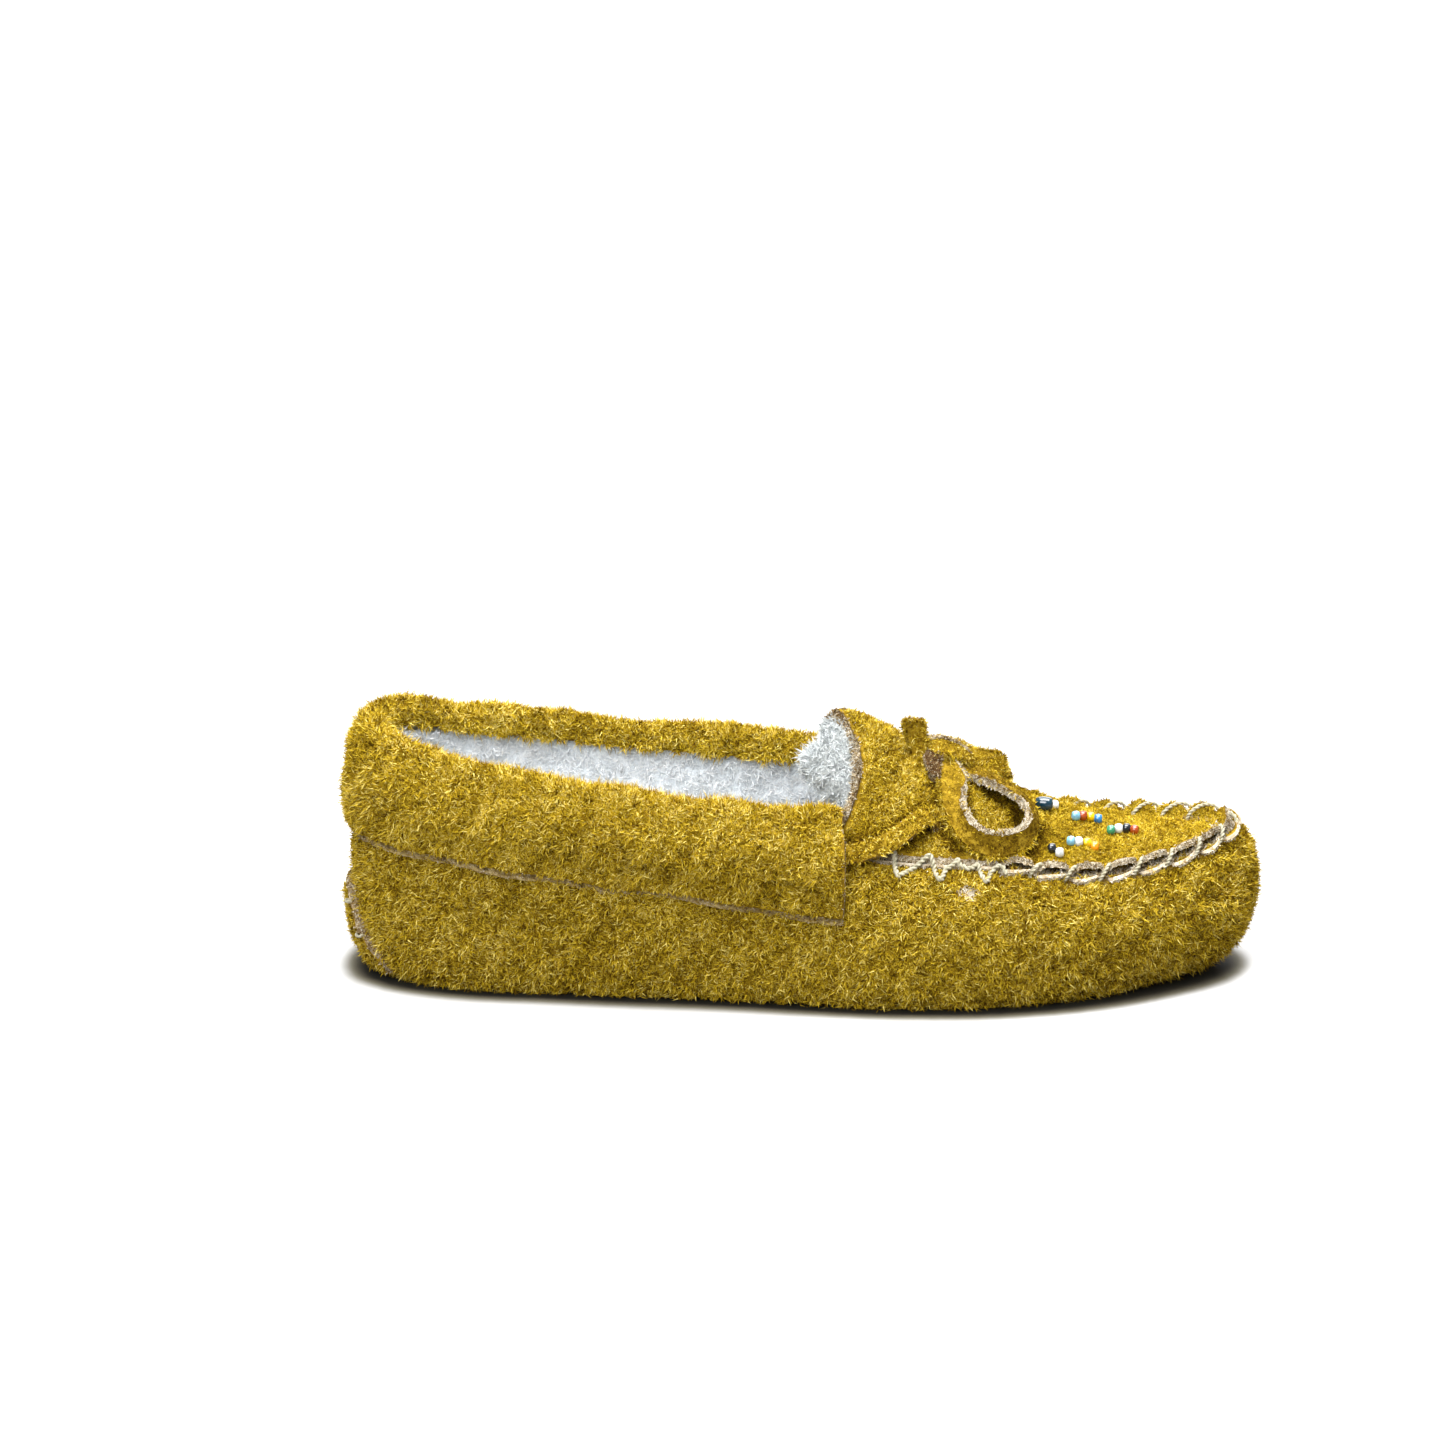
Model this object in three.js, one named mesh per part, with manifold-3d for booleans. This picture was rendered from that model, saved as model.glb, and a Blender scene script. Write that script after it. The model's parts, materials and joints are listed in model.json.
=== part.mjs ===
// A soft suede moccasin with a fold-down cuff, a fleece lining, a bow and sewn beads.
// Millimetres. +X points to the toe, -Y to the outer side of the foot and +Z up.
// The sole rests on Z = 0.
import * as THREE from 'three';
import { mergeVertices } from 'three/addons/utils/BufferGeometryUtils.js';
import Module from 'manifold-3d';

const wasm = await Module();
wasm.setup();

// Driving dimensions
const TOE_X = 107.5;             // front of the toe
const SUEDE = 2.0;               // thickness of the sole, sides and vamp
const CUFF_SUEDE = 1.8;          // thickness of the folded cuff and of the heel tab
const FLEECE = 3.5;              // thickness of the fleece on the sides
const VAMP_FLEECE = 3.0;         // thickness of the fleece under the vamp and tongue
const GAP = 0.35;                // clearance between neighbouring pieces
const FOAM = 4.0;                // thickness of the insole's foam
const INSOLE_FLEECE = 2.8;       // thickness of the fleece over the foam
const LACE_WIDTH = 4.7;
const LACE_THICKNESS = 1.4;
const THREAD = 1.1;              // diameter of the sewing thread
const STITCH_PITCH = 8.5;        // spacing of the whip stitches along the apron's seam
const STITCH_COUNT = 15;
const BEAD = 2.2;                // diameter of a seed bead
const LARGE_BEAD = 4.0;
const BEAD_LENGTH = 0.68;        // a bead's length as a share of its diameter
const TOE_SWAY = 4;              // how far the toe leans to the inner side of the foot
const RIM_BEND = 70;             // degrees that a side turns in between its widest line and its top
const HINGE_X = 27;              // where the tongue leaves the vamp
const TONGUE_WIDTH = 41;
const HINGE_GAP = 1.4;           // room for the tongue's root to turn
const FLEECE_HINGE_GAP = 2.6;    // the same for the thicker fleece under it
const FLEECE_REACH = 4;          // how far the tongue's fleece stands out behind its suede
const CUFF_TOP = 0.985;          // where the cuff's flap turns into its fold, as a side's level
const FOLD_HEIGHT = 3.2;         // height of the cuff's fold over the collar's top
const CUFF_LIP = 1.2;            // how far the cuff reaches down inside the collar
const LACE_SHARE = 0.62;         // how far up the cuff's flap the lace lies
const FRONT_SLANT = 0.035;       // how much shorter the cuff is round its lower edge
const SEAM_INSET = 1.4;          // how far the vamp's edge stays inside the sides' edge
const LINING_INSET = 4.2;        // the same for the vamp's fleece
const NEAR_SAG = 1.5;            // how much lower the near side's collar hangs

// Colours
const SUEDE_YELLOW = 0xc29a30;
const SUEDE_SHADE = 0xa8821f;
const RAW_EDGE = 0x9a8258;
const FLEECE_WHITE = 0xd3d8da;
const FOAM_CREAM = 0xe8e0c8;
const THREAD_CREAM = 0xd9d6c2;

// Lines round the shoe, as half a line from the heel to the toe: [x, half width, z].
const CONTACT = [
  [-93, 0, 0], [-89.5, 12, 0], [-78, 20, 0], [-50, 23, 0], [-20, 26.5, 0], [4, 30.5, 0],
  [20, 33, 0], [45, 31.5, 0], [66, 24.5, 0], [80, 14.5, 0], [86.5, 6.5, 0], [88, 0, 0],
];
const WIDEST = [
  [-104, 0, 18], [-98.2, 16.5, 17], [-79, 25, 15], [-50, 29, 13], [-20, 31, 13], [4, 34.5, 13],
  [20, 36.5, 13], [45, 38, 14], [70, 34, 15], [90, 24, 16], [102.8, 11.5, 18], [TOE_X, 0, 20],
];
const TOP = [
  [-100.3, 0, 57], [-94.5, 14.2, 56.2], [-79, 21.4, 53.2], [-50, 28, 49], [-20, 30, 45.7], [4, 29.5, 43.1],
  [15, 29.5, 34.6], [43, 28.5, 31], [66, 25.6, 27.6], [84, 19, 28.6], [97, 9.6, 31], [102.2, 0, 32.4],
];
// The collar's top without the step down to the vamp: what the cuff is folded over.
const COLLAR = TOP.map(([x, w, z], i) => (i < 6 ? [x, w, z] : [x - 1, w, 42]));
// The middle line of the vamp and the tongue: [x, z].
const RIDGE = [
  [8, 62.2], [19, 57], [27, 52], [34, 48.8], [44, 43.6],
  [54, 39], [64, 35.2], [74, 32.9], [86, 32.3], [103, 33],
];
const STATIONS = 2 * (TOP.length - 1);
const CUFF_END = 5.6 / STATIONS;        // the cuff's front edge, as a share of the way round
const VAMP_START = 6 / STATIONS;        // where the vamp's seam begins
const TAB_HALF = 1.05 / STATIONS;       // half the heel tab's width at the floor
const TOE = 0.5;                        // the toe, as a share of the way round

const root = new THREE.Group();

function sway(x) {
  return TOE_SWAY * THREE.MathUtils.smoothstep(x, 10, TOE_X);
}

// The whole line round the shoe from half a line. The collar's part of the near half sags.
function roundTheShoe(half, sag = 0) {
  const sags = (x, w) => w > 0 && x < 5;
  const near = half.map(([x, w, z]) => (
    new THREE.Vector3(x, sway(x) - w, sags(x, w) ? z - sag : z)
  ));
  const far = half.slice(1, -1).reverse().map(([x, w, z]) => new THREE.Vector3(x, sway(x) + w, z));
  return new THREE.CatmullRomCurve3([...near, ...far], true, 'centripetal');
}

const contactLine = roundTheShoe(CONTACT);
const widestLine = roundTheShoe(WIDEST);
const topLine = roundTheShoe(TOP, NEAR_SAG);
const collarLine = roundTheShoe(COLLAR, NEAR_SAG);
const ridgeLine = new THREE.CatmullRomCurve3(RIDGE.map(([x, z]) => new THREE.Vector3(x, 0, z)));

function onLine(line, u) {
  return line.getPoint(THREE.MathUtils.euclideanModulo(u, 1));
}

// A point of the side's outer face. u goes round the shoe from the heel by the near side.
// level is -1 at the floor, 0 at the widest line and 1 at the top.
function sideFace(top, u, level) {
  const widest = onLine(widestLine, u);
  if (level < 0) {
    const contact = onLine(contactLine, u);
    const angle = (1 + level) * Math.PI / 2;
    const point = contact.clone().lerp(widest, Math.sin(angle));
    point.z = widest.z * (1 - Math.cos(angle));
    return point;
  }
  const rim = onLine(top, u);
  const bend = THREE.MathUtils.degToRad(RIM_BEND);
  const angle = Math.asin(level * Math.sin(bend));
  const point = widest.clone().lerp(rim, (1 - Math.cos(angle)) / (1 - Math.cos(bend)));
  point.z = widest.z + (rim.z - widest.z) * level;
  return point;
}

// A point that stands `out` millimetres off a face, where face(a, b) gives the face's points
// and (a, b) stays within the range of b.
function offFace(face, a, b, out, [low, high]) {
  const step = 0.004;
  const alongA = face(a + step, b).sub(face(a - step, b));
  const alongB = face(a, Math.min(b + step, high)).sub(face(a, Math.max(b - step, low)));
  const normal = alongA.cross(alongB).normalize();
  return face(a, b).addScaledVector(normal, out);
}

function side(u, level, out, top = topLine) {
  return offFace((a, b) => sideFace(top, a, b), u, level, out, [-1, 1]);
}

// The seam between the sides and the vamp at x, on the near half.
function seamAt(x) {
  let low = VAMP_START;
  let high = TOE;
  for (let i = 0; i < 24; i += 1) {
    const middle = (low + high) / 2;
    if (onLine(topLine, middle).x < x) low = middle;
    else high = middle;
  }
  const point = onLine(topLine, low);
  return { u: low, half: sway(point.x) - point.y, z: point.z };
}

function ridgeZ(x) {
  let low = 0;
  let high = 1;
  for (let i = 0; i < 24; i += 1) {
    const middle = (low + high) / 2;
    if (ridgeLine.getPoint(middle).x < x) low = middle;
    else high = middle;
  }
  return ridgeLine.getPoint(low).z;
}

// The arched face of the vamp and tongue. across is -1 at the near seam and 1 at the far one.
function archFace(x, across, inset) {
  const seam = seamAt(x);
  const half = Math.max(seam.half - inset, 0.5);
  const rise = (1 - across * across) ** 0.75;
  return new THREE.Vector3(x, sway(x) + across * half, seam.z + (ridgeZ(x) - seam.z) * rise);
}

// A point `out` millimetres off the arch. The arch's sides are steep at the instep and flat
// over the toes.
function arch(x, across, out, inset = SEAM_INSET) {
  const flat = THREE.MathUtils.smoothstep(x, 20, 80);
  const lean = THREE.MathUtils.degToRad(across * THREE.MathUtils.lerp(62, 12, flat));
  const normal = new THREE.Vector3(0, Math.sin(lean), Math.cos(lean));
  return archFace(x, across, inset).addScaledVector(normal, out);
}

// The tongue's raw rim: how far back the arch reaches at each place across it.
function rimX(across) {
  const a = Math.min(Math.abs(across), 1);
  return 8.7 + 2.8 * a + 5.5 * Math.sin(Math.PI * a);
}

// Closed solid through a row of closed sections with equally many points, capped at its ends
// unless the row itself closes.
function loft(sections, closed = false) {
  const count = sections[0].length;
  const vertices = sections.flat();
  const faces = [];
  const rows = closed ? sections.length : sections.length - 1;
  for (let i = 0; i < rows; i += 1) {
    const here = i * count;
    const next = ((i + 1) % sections.length) * count;
    for (let j = 0; j < count; j += 1) {
      const k = (j + 1) % count;
      faces.push([here + j, here + k, next + k], [here + j, next + k, next + j]);
    }
  }
  if (!closed) {
    faces.push(...cap(sections[0], 0).map(([a, b, c]) => [a, c, b]));
    faces.push(...cap(sections.at(-1), vertices.length - count));
  }
  return solid(vertices, faces);
}

function cap(section, first) {
  const centre = new THREE.Vector3();
  section.forEach((point) => centre.addScaledVector(point, 1 / section.length));
  const normal = new THREE.Vector3();
  section.forEach((point, i) => {
    const next = section[(i + 1) % section.length];
    normal.add(point.clone().sub(centre).cross(next.clone().sub(centre)));
  });
  const flat = new THREE.Quaternion().setFromUnitVectors(normal.normalize(), new THREE.Vector3(0, 0, 1));
  const outline = section.map((point) => {
    const turned = point.clone().sub(centre).applyQuaternion(flat);
    return new THREE.Vector2(turned.x, turned.y);
  });
  return THREE.ShapeUtils.triangulateShape(outline, []).map(([a, b, c]) => {
    const turn = outline[b].clone().sub(outline[a]).cross(outline[c].clone().sub(outline[a]));
    return (turn > 0 ? [a, b, c] : [a, c, b]).map((i) => first + i);
  });
}

function solid(vertices, faces) {
  let volume = 0;
  faces.forEach(([a, b, c]) => {
    volume += vertices[a].dot(vertices[b].clone().cross(vertices[c]));
  });
  const geometry = new THREE.BufferGeometry().setFromPoints(vertices);
  geometry.setIndex(faces.flatMap(([a, b, c]) => (volume > 0 ? [a, b, c] : [a, c, b])));
  return geometry;
}

function toManifold(geometry) {
  const bare = geometry.clone();
  bare.deleteAttribute('normal');
  bare.deleteAttribute('uv');
  const merged = mergeVertices(bare, 1e-4);
  return new wasm.Manifold(new wasm.Mesh({
    numProp: 3,
    vertProperties: new Float32Array(merged.attributes.position.array),
    triVerts: new Uint32Array(merged.index.array),
  }));
}

function fromManifold(manifold) {
  const mesh = manifold.getMesh();
  const geometry = new THREE.BufferGeometry();
  geometry.setAttribute('position', new THREE.BufferAttribute(mesh.vertProperties, 3));
  geometry.setIndex(new THREE.BufferAttribute(mesh.triVerts, 1));
  return geometry;
}

function add(name, geometry, color, roughness = 0.95) {
  const material = new THREE.MeshStandardMaterial({ color, roughness, metalness: 0 });
  const mesh = new THREE.Mesh(geometry, material);
  mesh.name = name;
  root.add(mesh);
  return mesh;
}

function range(from, to, steps) {
  return Array.from({ length: steps + 1 }, (_, i) => from + (to - from) * (i / steps));
}

function ring(steps, place) {
  return Array.from({ length: steps }, (_, i) => place(i / steps));
}

// The bottom and the walls, one piece: up the outer face, over the rim and down the inner face.
function soleAndSides() {
  const steps = 56;
  const levels = [...range(-1, 0, 3), ...range(0.25, 1, 3)];
  const outer = levels.map((level) => ring(steps, (u) => side(u, level, 0)));
  const inner = levels.map((level) => ring(steps, (u) => side(u, level, -SUEDE))).reverse();
  return loft([...outer, ...inner]);
}

// A slab that lies flat on the sole and follows its edge.
function insoleLayer(low, thickness, spread) {
  const outline = (z) => ring(40, (u) => {
    const point = side(u, -1, 0);
    const out = side(u, 0, 1).sub(side(u, 0, 0)).setZ(0).normalize();
    return point.addScaledVector(out, spread).setZ(z);
  });
  return loft([outline(low), outline(low + thickness)]);
}

function liningSides() {
  const face = -(SUEDE + 2 * GAP);
  const levels = range(-0.06, 0.94, 4);
  const thickness = (level) => FLEECE - 1.5 * THREE.MathUtils.smoothstep(level, 0.5, 0.94);
  return loft(ring(56, (u) => [
    ...levels.map((level) => side(u, level, face)),
    ...levels.map((level) => side(u, level, face - thickness(level))).reverse(),
  ]), true);
}

// Height of the cuff's raw lower edge.
function cuffEdgeZ(x) {
  return THREE.MathUtils.mapLinear(x, -107, 8, 36, 22.4);
}

// The cuff's middle line at one place round the collar, from its lower edge outside, over the
// fold, to the end of its lip inside.
function cuffLine(u) {
  const widest = onLine(widestLine, u);
  const rim = onLine(collarLine, u);
  const edge = (cuffEdgeZ(rim.x) - widest.z) / (rim.z - widest.z);
  const half = CUFF_SUEDE / 2;
  const channel = 2 * GAP + LACE_THICKNESS + 0.8;
  const offs = [[0, 0.8], [0.3, 1.7], [0.48, channel], [0.76, channel], [0.92, 1.4], [1, 0.45]];
  const flap = offs.map(([share, off]) => {
    const level = edge + (CUFF_TOP - edge) * share;
    return side(u * (1 - FRONT_SLANT * (1 - share)), level, off + half, collarLine);
  });
  const out = side(u, 0.9, 1, collarLine).sub(side(u, 0.9, 0, collarLine)).setZ(0).normalize();
  const outside = flap.at(-1);
  const inside = side(u, CUFF_TOP, -(SUEDE + 2 * GAP + 2 + GAP + half), collarLine).setZ(outside.z);
  const middle = outside.clone().lerp(inside, 0.5);
  const reach = outside.distanceTo(inside) / 2;
  const fold = range(40, 140, 3).map((degrees) => {
    const angle = THREE.MathUtils.degToRad(degrees);
    const point = middle.clone().addScaledVector(out, reach * Math.cos(angle));
    return point.setZ(middle.z + FOLD_HEIGHT * Math.sin(angle));
  });
  const lip = [inside, inside.clone().addScaledVector(out, -0.6).setZ(inside.z - CUFF_LIP)];
  return { line: [...flap, ...fold, ...lip], out };
}

// A closed outline of even thickness round a line that lies in the upright plane holding `out`.
function thicken(line, out, thickness) {
  const left = [];
  const right = [];
  line.forEach((point, i) => {
    const before = line[Math.max(i - 1, 0)];
    const after = line[Math.min(i + 1, line.length - 1)];
    const along = after.clone().sub(before);
    const across = new THREE.Vector3().addScaledVector(out, -along.z);
    across.z = along.dot(out);
    across.normalize().multiplyScalar(thickness / 2);
    left.push(point.clone().add(across));
    right.push(point.clone().sub(across));
  });
  return [...left, ...right.reverse()];
}

function cuff() {
  return loft(range(-CUFF_END, CUFF_END, 32).map((u) => {
    const { line, out } = cuffLine(u);
    return thicken(line, out, CUFF_SUEDE);
  }));
}

// Level of the heel tab's cut edge, at a share of the way from its middle to its side.
function tabEdge(share) {
  return 0.13 - 0.6 * Math.abs(share) ** 1.8;
}

// The tab cut with the sole: up the back of the heel, with a round top.
function heelTab() {
  return loft(range(-1, 1, 14).map((share) => {
    const u = share * TAB_HALF;
    const levels = range(-0.56, tabEdge(share), 4);
    return [
      ...levels.map((level) => side(u, level, GAP)),
      ...levels.map((level) => side(u, level, GAP + CUFF_SUEDE)).reverse(),
    ];
  }));
}

// The whole arch of vamp and tongue between two depths under its outer face. reach is how far
// its rear stands out behind the tongue's rim.
function archSolid(depth, thickness, inset, front, reach = 0) {
  const shares = range(-1, 1, 12).map((share) => Math.sin(share * Math.PI / 2));
  const start = 12;
  const stations = [...range(start, 87, 10), 93, 96.5, front];
  return loft(stations.map((x) => {
    const place = (across, out) => {
      const pull = Math.max(0, 1 - (x - start) / 15);
      const rear = rimX(across) - reach * (1 - across * across);
      return arch(x + (rear - start) * pull, across, out, inset);
    };
    return [
      ...shares.map((across) => place(across, -depth)),
      ...shares.map((across) => place(across, -depth - thickness)).reverse(),
    ];
  }));
}

// A box that takes in the tongue, with its front face at x and this width.
function tongueBox(x, width) {
  const box = new THREE.BoxGeometry(60, width, 80);
  box.translate(x - 30, 0, 40);
  return toManifold(box);
}

// The slot on each side of the vamp that the lace goes through.
const LACE_HOLE = { x: 31.2, across: 0.84, length: 5, width: 6.4 };

function laceHoles() {
  return [-1, 1].map((hand) => {
    const at = arch(LACE_HOLE.x, hand * LACE_HOLE.across, 0);
    const above = arch(LACE_HOLE.x, hand * LACE_HOLE.across, 5);
    const box = new THREE.BoxGeometry(LACE_HOLE.length, LACE_HOLE.width, 12);
    box.applyQuaternion(new THREE.Quaternion().setFromUnitVectors(
      new THREE.Vector3(0, 0, 1),
      above.sub(at).normalize(),
    ));
    box.translate(at.x, at.y, at.z);
    return toManifold(box);
  }).reduce((both, hole) => both.add(hole));
}

function splitArch(arched, holes, gap) {
  const tongue = arched.intersect(tongueBox(HINGE_X - gap, TONGUE_WIDTH));
  const vamp = arched.subtract(tongueBox(HINGE_X, TONGUE_WIDTH + 2 * GAP)).subtract(holes);
  return { tongue: fromManifold(tongue), vamp: fromManifold(vamp) };
}

// A flat strap along a row of places. Each place has its point, the direction across the
// strap's width and its face's normal.
function strap(places, width, thickness, closed = false) {
  const bevel = 0.3;
  const w = width / 2;
  const t = thickness / 2;
  const section = [
    [w, t - bevel], [w - bevel, t], [-w + bevel, t], [-w, t - bevel],
    [-w, bevel - t], [-w + bevel, -t], [w - bevel, -t], [w, bevel - t],
  ];
  return loft(places.map(({ point, across, normal }) => section.map(([a, b]) => (
    point.clone().addScaledVector(across, a).addScaledVector(normal, b)
  ))), closed);
}

// Places along a curve for a strap whose face turns with `normalAt`.
function strapPlaces(curve, steps, normalAt) {
  return range(0, 1, steps).map((share) => {
    const along = curve.getTangent(share);
    const point = curve.getPoint(share);
    const normal = normalAt(share, point).clone();
    normal.addScaledVector(along, -normal.dot(along)).normalize();
    return { point, across: along.clone().cross(normal), normal };
  });
}

// The lace: from the near hole in the vamp, back under the cuff, round the heel and forward
// to the far hole.
function collarLace() {
  const off = GAP + LACE_THICKNESS / 2 + 0.2;
  const inCuff = (u) => {
    const widest = onLine(widestLine, u);
    const rim = onLine(collarLine, u);
    const edge = (cuffEdgeZ(rim.x) - widest.z) / (rim.z - widest.z);
    return edge + (CUFF_TOP - edge) * LACE_SHARE;
  };
  const onVamp = (hand) => [
    [31.4, 0.84, -1.2], [29.8, 0.85, 0.9], [26, 0.875, off + 0.7], [19, 0.915, off + 1.1],
  ].map(([x, across, out]) => arch(x, hand * across, out));
  const round = range(CUFF_END * 0.97, -CUFF_END * 0.97, 22);
  const points = [
    ...onVamp(-1),
    ...round.map((u) => side(u, inCuff(u), off, collarLine)),
    ...onVamp(1).reverse(),
  ];
  const curve = new THREE.CatmullRomCurve3(points, false, 'centripetal');
  const steps = 64;
  const centre = new THREE.Vector3(0, 0, 30);
  return strap(strapPlaces(curve, steps, (share, point) => {
    const outward = point.clone().sub(centre);
    outward.x = point.x < -70 ? point.x + 70 : 0;
    outward.z = point.x > 10 ? 14 : 2;
    return outward;
  }), LACE_WIDTH - 0.5, LACE_THICKNESS);
}

function knot() {
  const geometry = new THREE.SphereGeometry(1, 14, 10);
  geometry.scale(4.6, 3.6, 2.7);
  geometry.rotateY(THREE.MathUtils.degToRad(22));
  const seat = arch(33.5, 0, 3.6);
  geometry.translate(seat.x, seat.y, seat.z);
  return geometry;
}

// A bow's loop lies on the vamp's slope as a flat ring, drawn out towards the knot.
function bowLoop(hand) {
  const outline = [
    [38.6, 7], [45, 6.4], [51.5, 9.2], [54.3, 14], [51.5, 18.6], [45.2, 20.2], [39, 18], [36.6, 12.4],
  ];
  const lift = 1.9;
  const onVamp = ([x, w], out) => {
    const half = seamAt(x).half - SEAM_INSET;
    return arch(x, hand * w / half, out);
  };
  const points = outline.map((place) => onVamp(place, lift));
  const curve = new THREE.CatmullRomCurve3(points, true, 'centripetal');
  const centre = onVamp([45.4, 13.2], lift);
  const normal = onVamp([45.4, 13.2], lift + 5).sub(centre).normalize();
  const places = ring(28, (share) => {
    const point = curve.getPoint(share);
    const along = curve.getTangent(share);
    const across = along.clone().cross(normal).normalize();
    return { point, across, normal };
  });
  return strap(places, LACE_WIDTH - 1.2, LACE_THICKNESS, true);
}

// The lace's free ends: the near one stands up behind the knot, the far one reaches forward.
const TAIL_NEAR = [[29.4, -4.6, 54.2], [27.6, -4.8, 56.2], [26.6, -4.7, 58.2], [26, -4.4, 60.4]];
const TAIL_FAR = [[38.6, 1.6, 51.6], [41.6, 2, 50.6], [44.8, 2.4, 49.4], [48, 2.6, 48]];

function bowTail(route, face) {
  const points = route.map((point) => new THREE.Vector3(...point));
  const curve = new THREE.CatmullRomCurve3(points);
  return strap(strapPlaces(curve, 6, () => new THREE.Vector3(...face)), LACE_WIDTH, LACE_THICKNESS);
}

function thread(points, steps) {
  const section = new THREE.Shape().absarc(0, 0, THREAD / 2, 0, 2 * Math.PI);
  return new THREE.ExtrudeGeometry(section, {
    curveSegments: 3,
    steps,
    bevelEnabled: false,
    extrudePath: new THREE.CatmullRomCurve3(points, false, 'centripetal'),
  });
}

// One whip stitch over the apron's seam: in through the vamp, over the ridge, down the side.
function whipStitch(u) {
  const lean = 0.0035 * (u < TOE ? 1 : -1);
  const rim = side(u, 0.97, 0);
  const inward = side(u, 0.97, 0).sub(side(u, 0.97, 1)).setZ(0).normalize();
  const top = rim.clone().addScaledVector(inward, 0.8).setZ(rim.z + 2);
  const inside = rim.clone().addScaledVector(inward, 3.6).setZ(rim.z + 3);
  const low = side(u + lean, 0.72, GAP + THREAD / 2 + 0.1);
  const waist = side(u + lean / 2, 0.88, GAP + THREAD / 2 + 0.3);
  return thread([inside, top, waist, low], 8);
}

// Even spacing along the seam: the share of the way round at this distance before the toe.
function seamShare(distance) {
  const steps = 200;
  const hand = Math.sign(distance) || 1;
  let travelled = 0;
  let before = onLine(topLine, TOE);
  for (let i = 1; i <= steps; i += 1) {
    const u = TOE - hand * i / steps * 0.25;
    const point = onLine(topLine, u);
    travelled += point.distanceTo(before);
    before = point;
    if (travelled >= Math.abs(distance)) return u;
  }
  return TOE - hand * 0.25;
}

// The zig-zag thread that joins a wing of the vamp to the side.
function sideThread(hand) {
  const zigzag = [[21.5, 1], [22, -1], [29.5, 1], [31, -1], [36, 1], [39, -1], [43, 1], [47, -1]];
  const points = zigzag.map(([x, end]) => {
    if (end > 0) return arch(x, hand * 0.985, 1.7);
    const { u } = seamAt(x);
    return side(hand < 0 ? u : 1 - u, 0.74, GAP + THREAD / 2 + 0.3);
  });
  return thread(points, 36);
}

// A stitch on the heel tab that runs in towards its middle from its cut edge.
function heelStitch(share) {
  const off = GAP + CUFF_SUEDE + GAP + THREAD / 2;
  const outer = side(share * TAB_HALF, tabEdge(share) - 0.04, off);
  const inner = side(share * 0.6 * TAB_HALF, tabEdge(share) - 0.06, off);
  return thread([inner, outer], 3);
}

// A bead lies on the apron with its hole level, beside its neighbour on the thread.
function bead(x, y, size, turn) {
  const radius = size / 2;
  const hole = 0.2 * size;
  const tube = (radius - hole) / 2;
  const profile = ring(6, (share) => new THREE.Vector2(
    hole + tube + tube * Math.cos(share * 2 * Math.PI),
    BEAD_LENGTH * radius * Math.sin(share * 2 * Math.PI),
  ));
  const geometry = new THREE.LatheGeometry([...profile, profile[0]], 8);
  geometry.rotateZ(Math.PI / 2);
  geometry.rotateZ(turn);
  const half = seamAt(x).half - SEAM_INSET;
  const seat = arch(x, (y - sway(x)) / half, radius + GAP);
  geometry.translate(seat.x, seat.y, seat.z);
  return geometry;
}

// The beads in their strings on the apron: [x, y, colour, size].
const BEADS = [
  [57.3, -2.2, 0x12343c, LARGE_BEAD], [60.1, 2.8, 0xe8ecef, BEAD],
  [64.9, -0.4, 0xb7d3de, BEAD], [66.7, 1.2, 0xc9502a, BEAD],
  [68.5, 1.8, 0xd9a51c, BEAD], [70.3, 1.6, 0x4f8fb5, BEAD],
  [72.9, -4.3, 0x3f8f4c, BEAD], [74.8, -2.7, 0xe9ecee, BEAD],
  [76.7, -2.1, 0x1b1b1d, BEAD], [78.5, -2.7, 0x8c3a24, BEAD],
  [63, -13.8, 0x79b4cf, BEAD], [64.8, -13.2, 0xe6ebed, BEAD],
  [66.7, -12.9, 0xe2b32c, BEAD], [68.5, -13.6, 0xd06a24, BEAD],
  [58.3, -18.3, 0x3f4447, BEAD], [60.1, -18.8, 0xdfe5e8, BEAD],
];

function twoDigits(number) {
  return String(number).padStart(2, '0');
}

function addBeads() {
  BEADS.forEach(([x, y, color, size], i) => {
    add(`bead_${twoDigits(i + 1)}`, bead(x, y, size, 0.2 * Math.sin(2.4 * i)), color, 0.15);
  });
}

function addStitches() {
  const middle = (STITCH_COUNT - 1) / 2;
  for (let i = 0; i < STITCH_COUNT; i += 1) {
    const u = seamShare((i - middle) * STITCH_PITCH);
    add(`apron_stitch_${twoDigits(i + 1)}`, whipStitch(u), THREAD_CREAM, 0.8);
  }
  [0.72, 0.4, -0.72, -0.4].forEach((share, i) => {
    add(`heel_stitch_${i + 1}`, heelStitch(share), THREAD_CREAM, 0.8);
  });
}

add('sole_and_sides', soleAndSides(), SUEDE_YELLOW);
add('heel_tab', heelTab(), SUEDE_SHADE);
add('cuff', cuff(), SUEDE_YELLOW);
add('insole_foam', insoleLayer(SUEDE + GAP, FOAM, -0.8), FOAM_CREAM);
add('insole_fleece', insoleLayer(SUEDE + FOAM + 2 * GAP, INSOLE_FLEECE, 0), FLEECE_WHITE);
add('lining_sides', liningSides(), FLEECE_WHITE);

const holes = laceHoles();
const upper = splitArch(toManifold(archSolid(0, SUEDE, SEAM_INSET, 96.6)), holes, HINGE_GAP);
add('vamp_apron', upper.vamp, SUEDE_YELLOW);
add('tongue', upper.tongue, SUEDE_YELLOW);
const underside = archSolid(SUEDE + GAP, VAMP_FLEECE, LINING_INSET, 96, FLEECE_REACH);
const lining = splitArch(toManifold(underside), holes, FLEECE_HINGE_GAP);
add('lining_vamp', lining.vamp, FLEECE_WHITE);
add('tongue_lining', lining.tongue, FLEECE_WHITE);

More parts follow.
